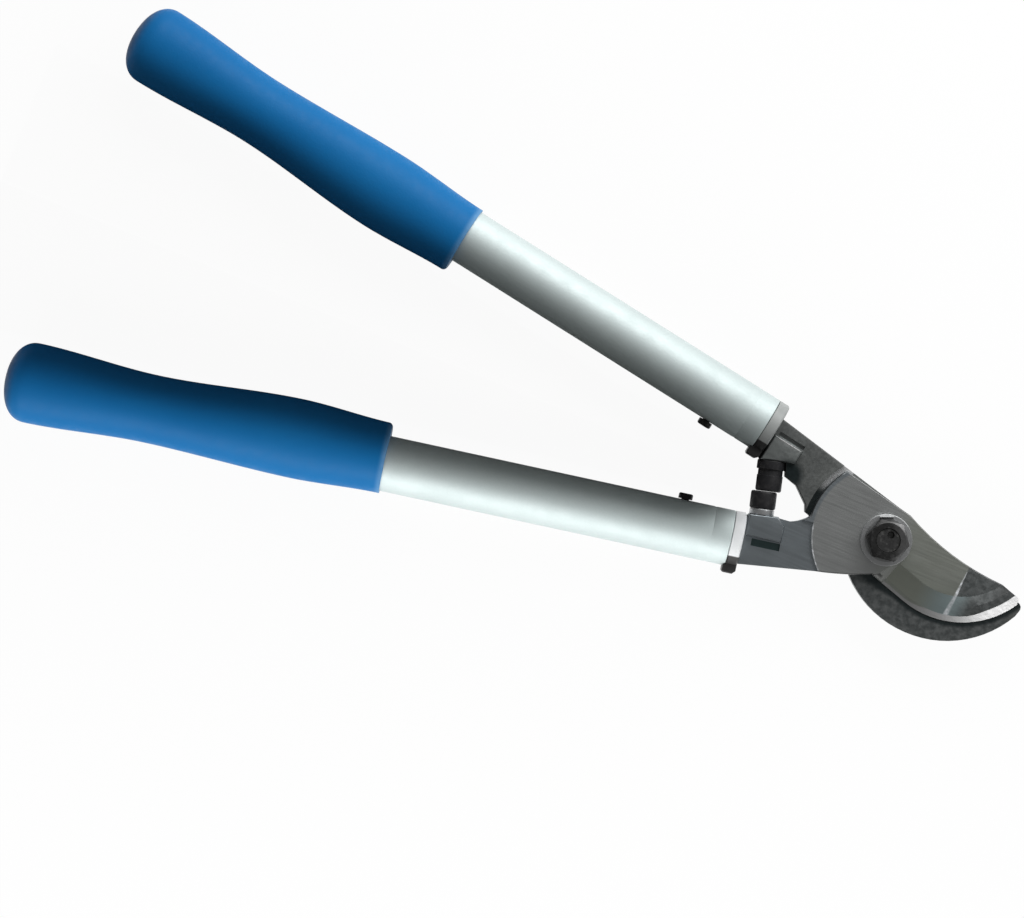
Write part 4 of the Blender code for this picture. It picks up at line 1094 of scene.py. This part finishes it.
def widen_bevel(shape):
    """Carry the bevel's inner border further in towards the tip, up the slope that it has."""
    low, high = BEVEL_TIP_PLACES
    for vertex in shape.verts:
        outward = (vertex.co - EDGE_CENTRE).to_2d()
        inside = EDGE_RADIUS - outward.length
        if vertex.co.x < low or abs(inside - BEVEL_WIDTH) > BEVEL_TOLERANCE:
            continue
        step = BEVEL_TIP_EXTRA * eased(min(1.0, (vertex.co.x - low) / (high - low)))
        on_spine = BEVEL_WIDTH - inside > SPINE_TOLERANCE
        way = SPINE_WAY if on_spine else -outward.normalized()
        vertex.co += Vector((way.x, way.y, BEVEL_SLOPE)) * step
    return shape


def mark_faces(piece, masks):
    """Masks on the faces that lean so far; all but the chamfers lie near the blade's edge."""
    for name, (low, high) in masks.items():
        mask = piece.data.attributes.new(name, "FLOAT", "FACE")
        for face in piece.data.polygons:
            near_edge = (face.center - PIVOT - EDGE_CENTRE).to_2d().length > GROUND_FROM
            leans = low < face.normal.z < high
            mask.data[face.index].value = float(leans and (near_edge or name == "chamfer"))


def make_plates():
    """The blade and the hook, from their CAD faces; the blade's bevel widens to its tip."""
    shape = widen_bevel(copied_faces("blade", HEAD))
    blade = soften(add_piece("blade_ground", shape, HEAD, FINISHES["blade"], "blade"))
    ground = {"bevel": BEVEL_NORMAL_Z, "hollow": HOLLOW_NORMAL_Z, "chamfer": CHAMFER_NORMAL_Z}
    mark_faces(blade, ground)
    hook = add_piece("hook_forged", copied_faces("hook", HEAD), HEAD, FINISHES["hook"], "hook")
    mark_faces(soften(hook), {"chamfer": CHAMFER_NORMAL_Z})


def make_sleeve(handle):
    node = handle.name + "_tang_sleeve"
    shape = copied_faces(node, handle.along)
    finish = FINISHES[handle.name + "_sleeve"]
    return soften(add_piece(node + "_moulded", shape, handle.along, finish, node))


def dress_plain_nodes():
    """Finishes for the nodes whose CAD shape is right as it is."""
    chosen = {
        "tab_washer": "tab", "pivot_bush": "bronze", "upper_bumper_stud": "zinc",
        "upper_tube_plug": "plug", "lower_tube_plug": "plug",
    }
    for node, finish in chosen.items():
        frame["nodes"][node].material_slots[0].material = FINISHES[finish]


def make_floor():
    """A plain pale floor, white to the camera and in metal, that keeps the lopper's shadow."""
    shape = bmesh.new()
    bmesh.ops.create_grid(shape, x_segments=1, y_segments=1, size=FLOOR_REACH)
    floor = add_object("floor", new_mesh("floor", shape))
    floor.location.z = -FLOOR_DROP
    paper = Finish("floor", Base_Color=grey(FLOOR_GREY), Roughness=FLOOR_ROUGHNESS)
    path = paper.add("ShaderNodeLightPath").outputs
    seen = paper.math("MAXIMUM", path["Is Camera Ray"], path["Is Glossy Ray"])
    seen = paper.math("MAXIMUM", seen, path["Is Transmission Ray"])
    glow = paper.add("ShaderNodeEmission", Color=grey(1.0)).outputs["Emission"]
    mixed = paper.add("ShaderNodeMixShader", Fac=paper.product(seen, FLOOR_GLOW))
    paper.feed(mixed.inputs[1], paper.shader.outputs["BSDF"])
    paper.feed(mixed.inputs[2], glow)
    output = paper.tree.nodes["Material Output"]
    paper.feed(output.inputs["Surface"], mixed.outputs["Shader"])
    floor.data.materials.append(paper.material)
    return floor


def make_world():
    world = bpy.data.worlds.new("studio")
    bpy.context.scene.world = world
    world.use_nodes = True
    world.node_tree.nodes["Background"].inputs["Color"].default_value = grey(WORLD_LIGHT)


def add_softbox(name, length, width, power, placement):
    """A softbox that shines down its own Z axis and that the camera doesn't see."""
    lamp = bpy.data.lights.new(name, "AREA")
    lamp.shape = "RECTANGLE"
    lamp.size = length
    lamp.size_y = width
    lamp.energy = power
    holder = add_object(name, lamp)
    holder.matrix_world = placement
    holder.visible_camera = False
    return holder


def add_handle_lamp(handle, degrees, power):
    """A softbox along a handle, swung down by the degrees to the handle's outer side."""
    swing = Matrix.Rotation(handle.side * math.radians(degrees), 4, "X")
    away = Matrix.Translation((0.0, 0.0, LAMP_DISTANCE))
    placement = handle.along @ Matrix.Translation((LAMP_ALONG, 0.0, 0.0)) @ swing @ away
    return add_softbox(handle.name + "_softbox", LAMP_LENGTH, LAMP_WIDTH, power, placement)


def add_jaw_lamp():
    """A small softbox beyond the jaws' tip, for the bevel."""
    turn = Matrix.Rotation(math.radians(JAW_LAMP_AZIMUTH), 4, "Z")
    swing = Matrix.Rotation(math.radians(90.0 - JAW_LAMP_ELEVATION), 4, "Y")
    away = Matrix.Translation((0.0, 0.0, JAW_LAMP_DISTANCE))
    placement = HEAD @ Matrix.Translation(JAW_LAMP_AIM) @ turn @ swing @ away
    return add_softbox("jaw_softbox", JAW_LAMP_WIDTH, JAW_LAMP_LENGTH, JAW_LAMP_POWER, placement)


def light_only(lamp, things):
    """Let a lamp light these things and nothing else."""
    lit = bpy.data.collections.new(lamp.name + "_lights")
    for thing in things:
        lit.objects.link(thing)
    lamp.light_linking.receiver_collection = lit


def add_flag(name, points):
    """A dark card that the camera doesn't see."""
    shape = bmesh.new()
    shape.faces.new([shape.verts.new(point) for point in points])
    flag = add_object(name, new_mesh(name, shape))
    cloth = Finish(name, Base_Color=grey(FLAG_GREY), Roughness=1.0, Specular_IOR_Level=0.0)
    flag.data.materials.append(cloth.material)
    flag.visible_camera = False
    return flag


def make_flags():
    """Dark cards between the handles: one stands on the floor and one lies on it."""
    near, far = PIVOT.x + FLAG_NEAR, PIVOT.x + FLAG_FAR
    middle = PIVOT.y
    wall = add_flag("flag_wall", [
        (near, middle, 0.0), (far, middle, 0.0),
        (far, middle, FLAG_FAR_HEIGHT), (near, middle, FLAG_NEAR_HEIGHT),
    ])
    card = add_flag("flag_floor", [
        (near, middle + FLAG_NEAR_REACH, 0.0), (far, middle + FLAG_FAR_REACH, 0.0),
        (far, middle - FLAG_FAR_REACH, 0.0), (near, middle - FLAG_NEAR_REACH, 0.0),
    ])
    card.visible_shadow = False
    return [wall, card]


def make_camera():
    data = bpy.data.cameras.new("camera")
    data.sensor_width = SENSOR_WIDTH
    data.lens = SENSOR_WIDTH * CAMERA_HEIGHT / PHOTO_WIDTH
    camera = add_object("camera", data)
    camera.location = PIVOT + PHOTO_CENTRE + Vector((0.0, 0.0, CAMERA_HEIGHT))
    camera.rotation_euler = (0.0, 0.0, math.radians(PHOTO_TURN))
    bpy.context.scene.camera = camera


handle_pieces = {}
for handle in (UPPER, LOWER):
    makers = (make_tube, make_sleeve, make_screw, make_grip)
    handle_pieces[handle] = [make(handle) for make in makers]
make_plates()
make_bolt()
make_washer()
make_nut()
make_bumpers()
dress_plain_nodes()
floor = make_floor()
make_world()
add_handle_lamp(UPPER, UPPER_LAMP_DEGREES, UPPER_LAMP_POWER)
flags = make_flags()
lower_lamp = add_handle_lamp(LOWER, LOWER_LAMP_DEGREES, LOWER_LAMP_POWER)
light_only(lower_lamp, handle_pieces[LOWER] + flags + [floor])
add_jaw_lamp()
make_camera()
bpy.context.scene.view_settings.view_transform = "Standard"
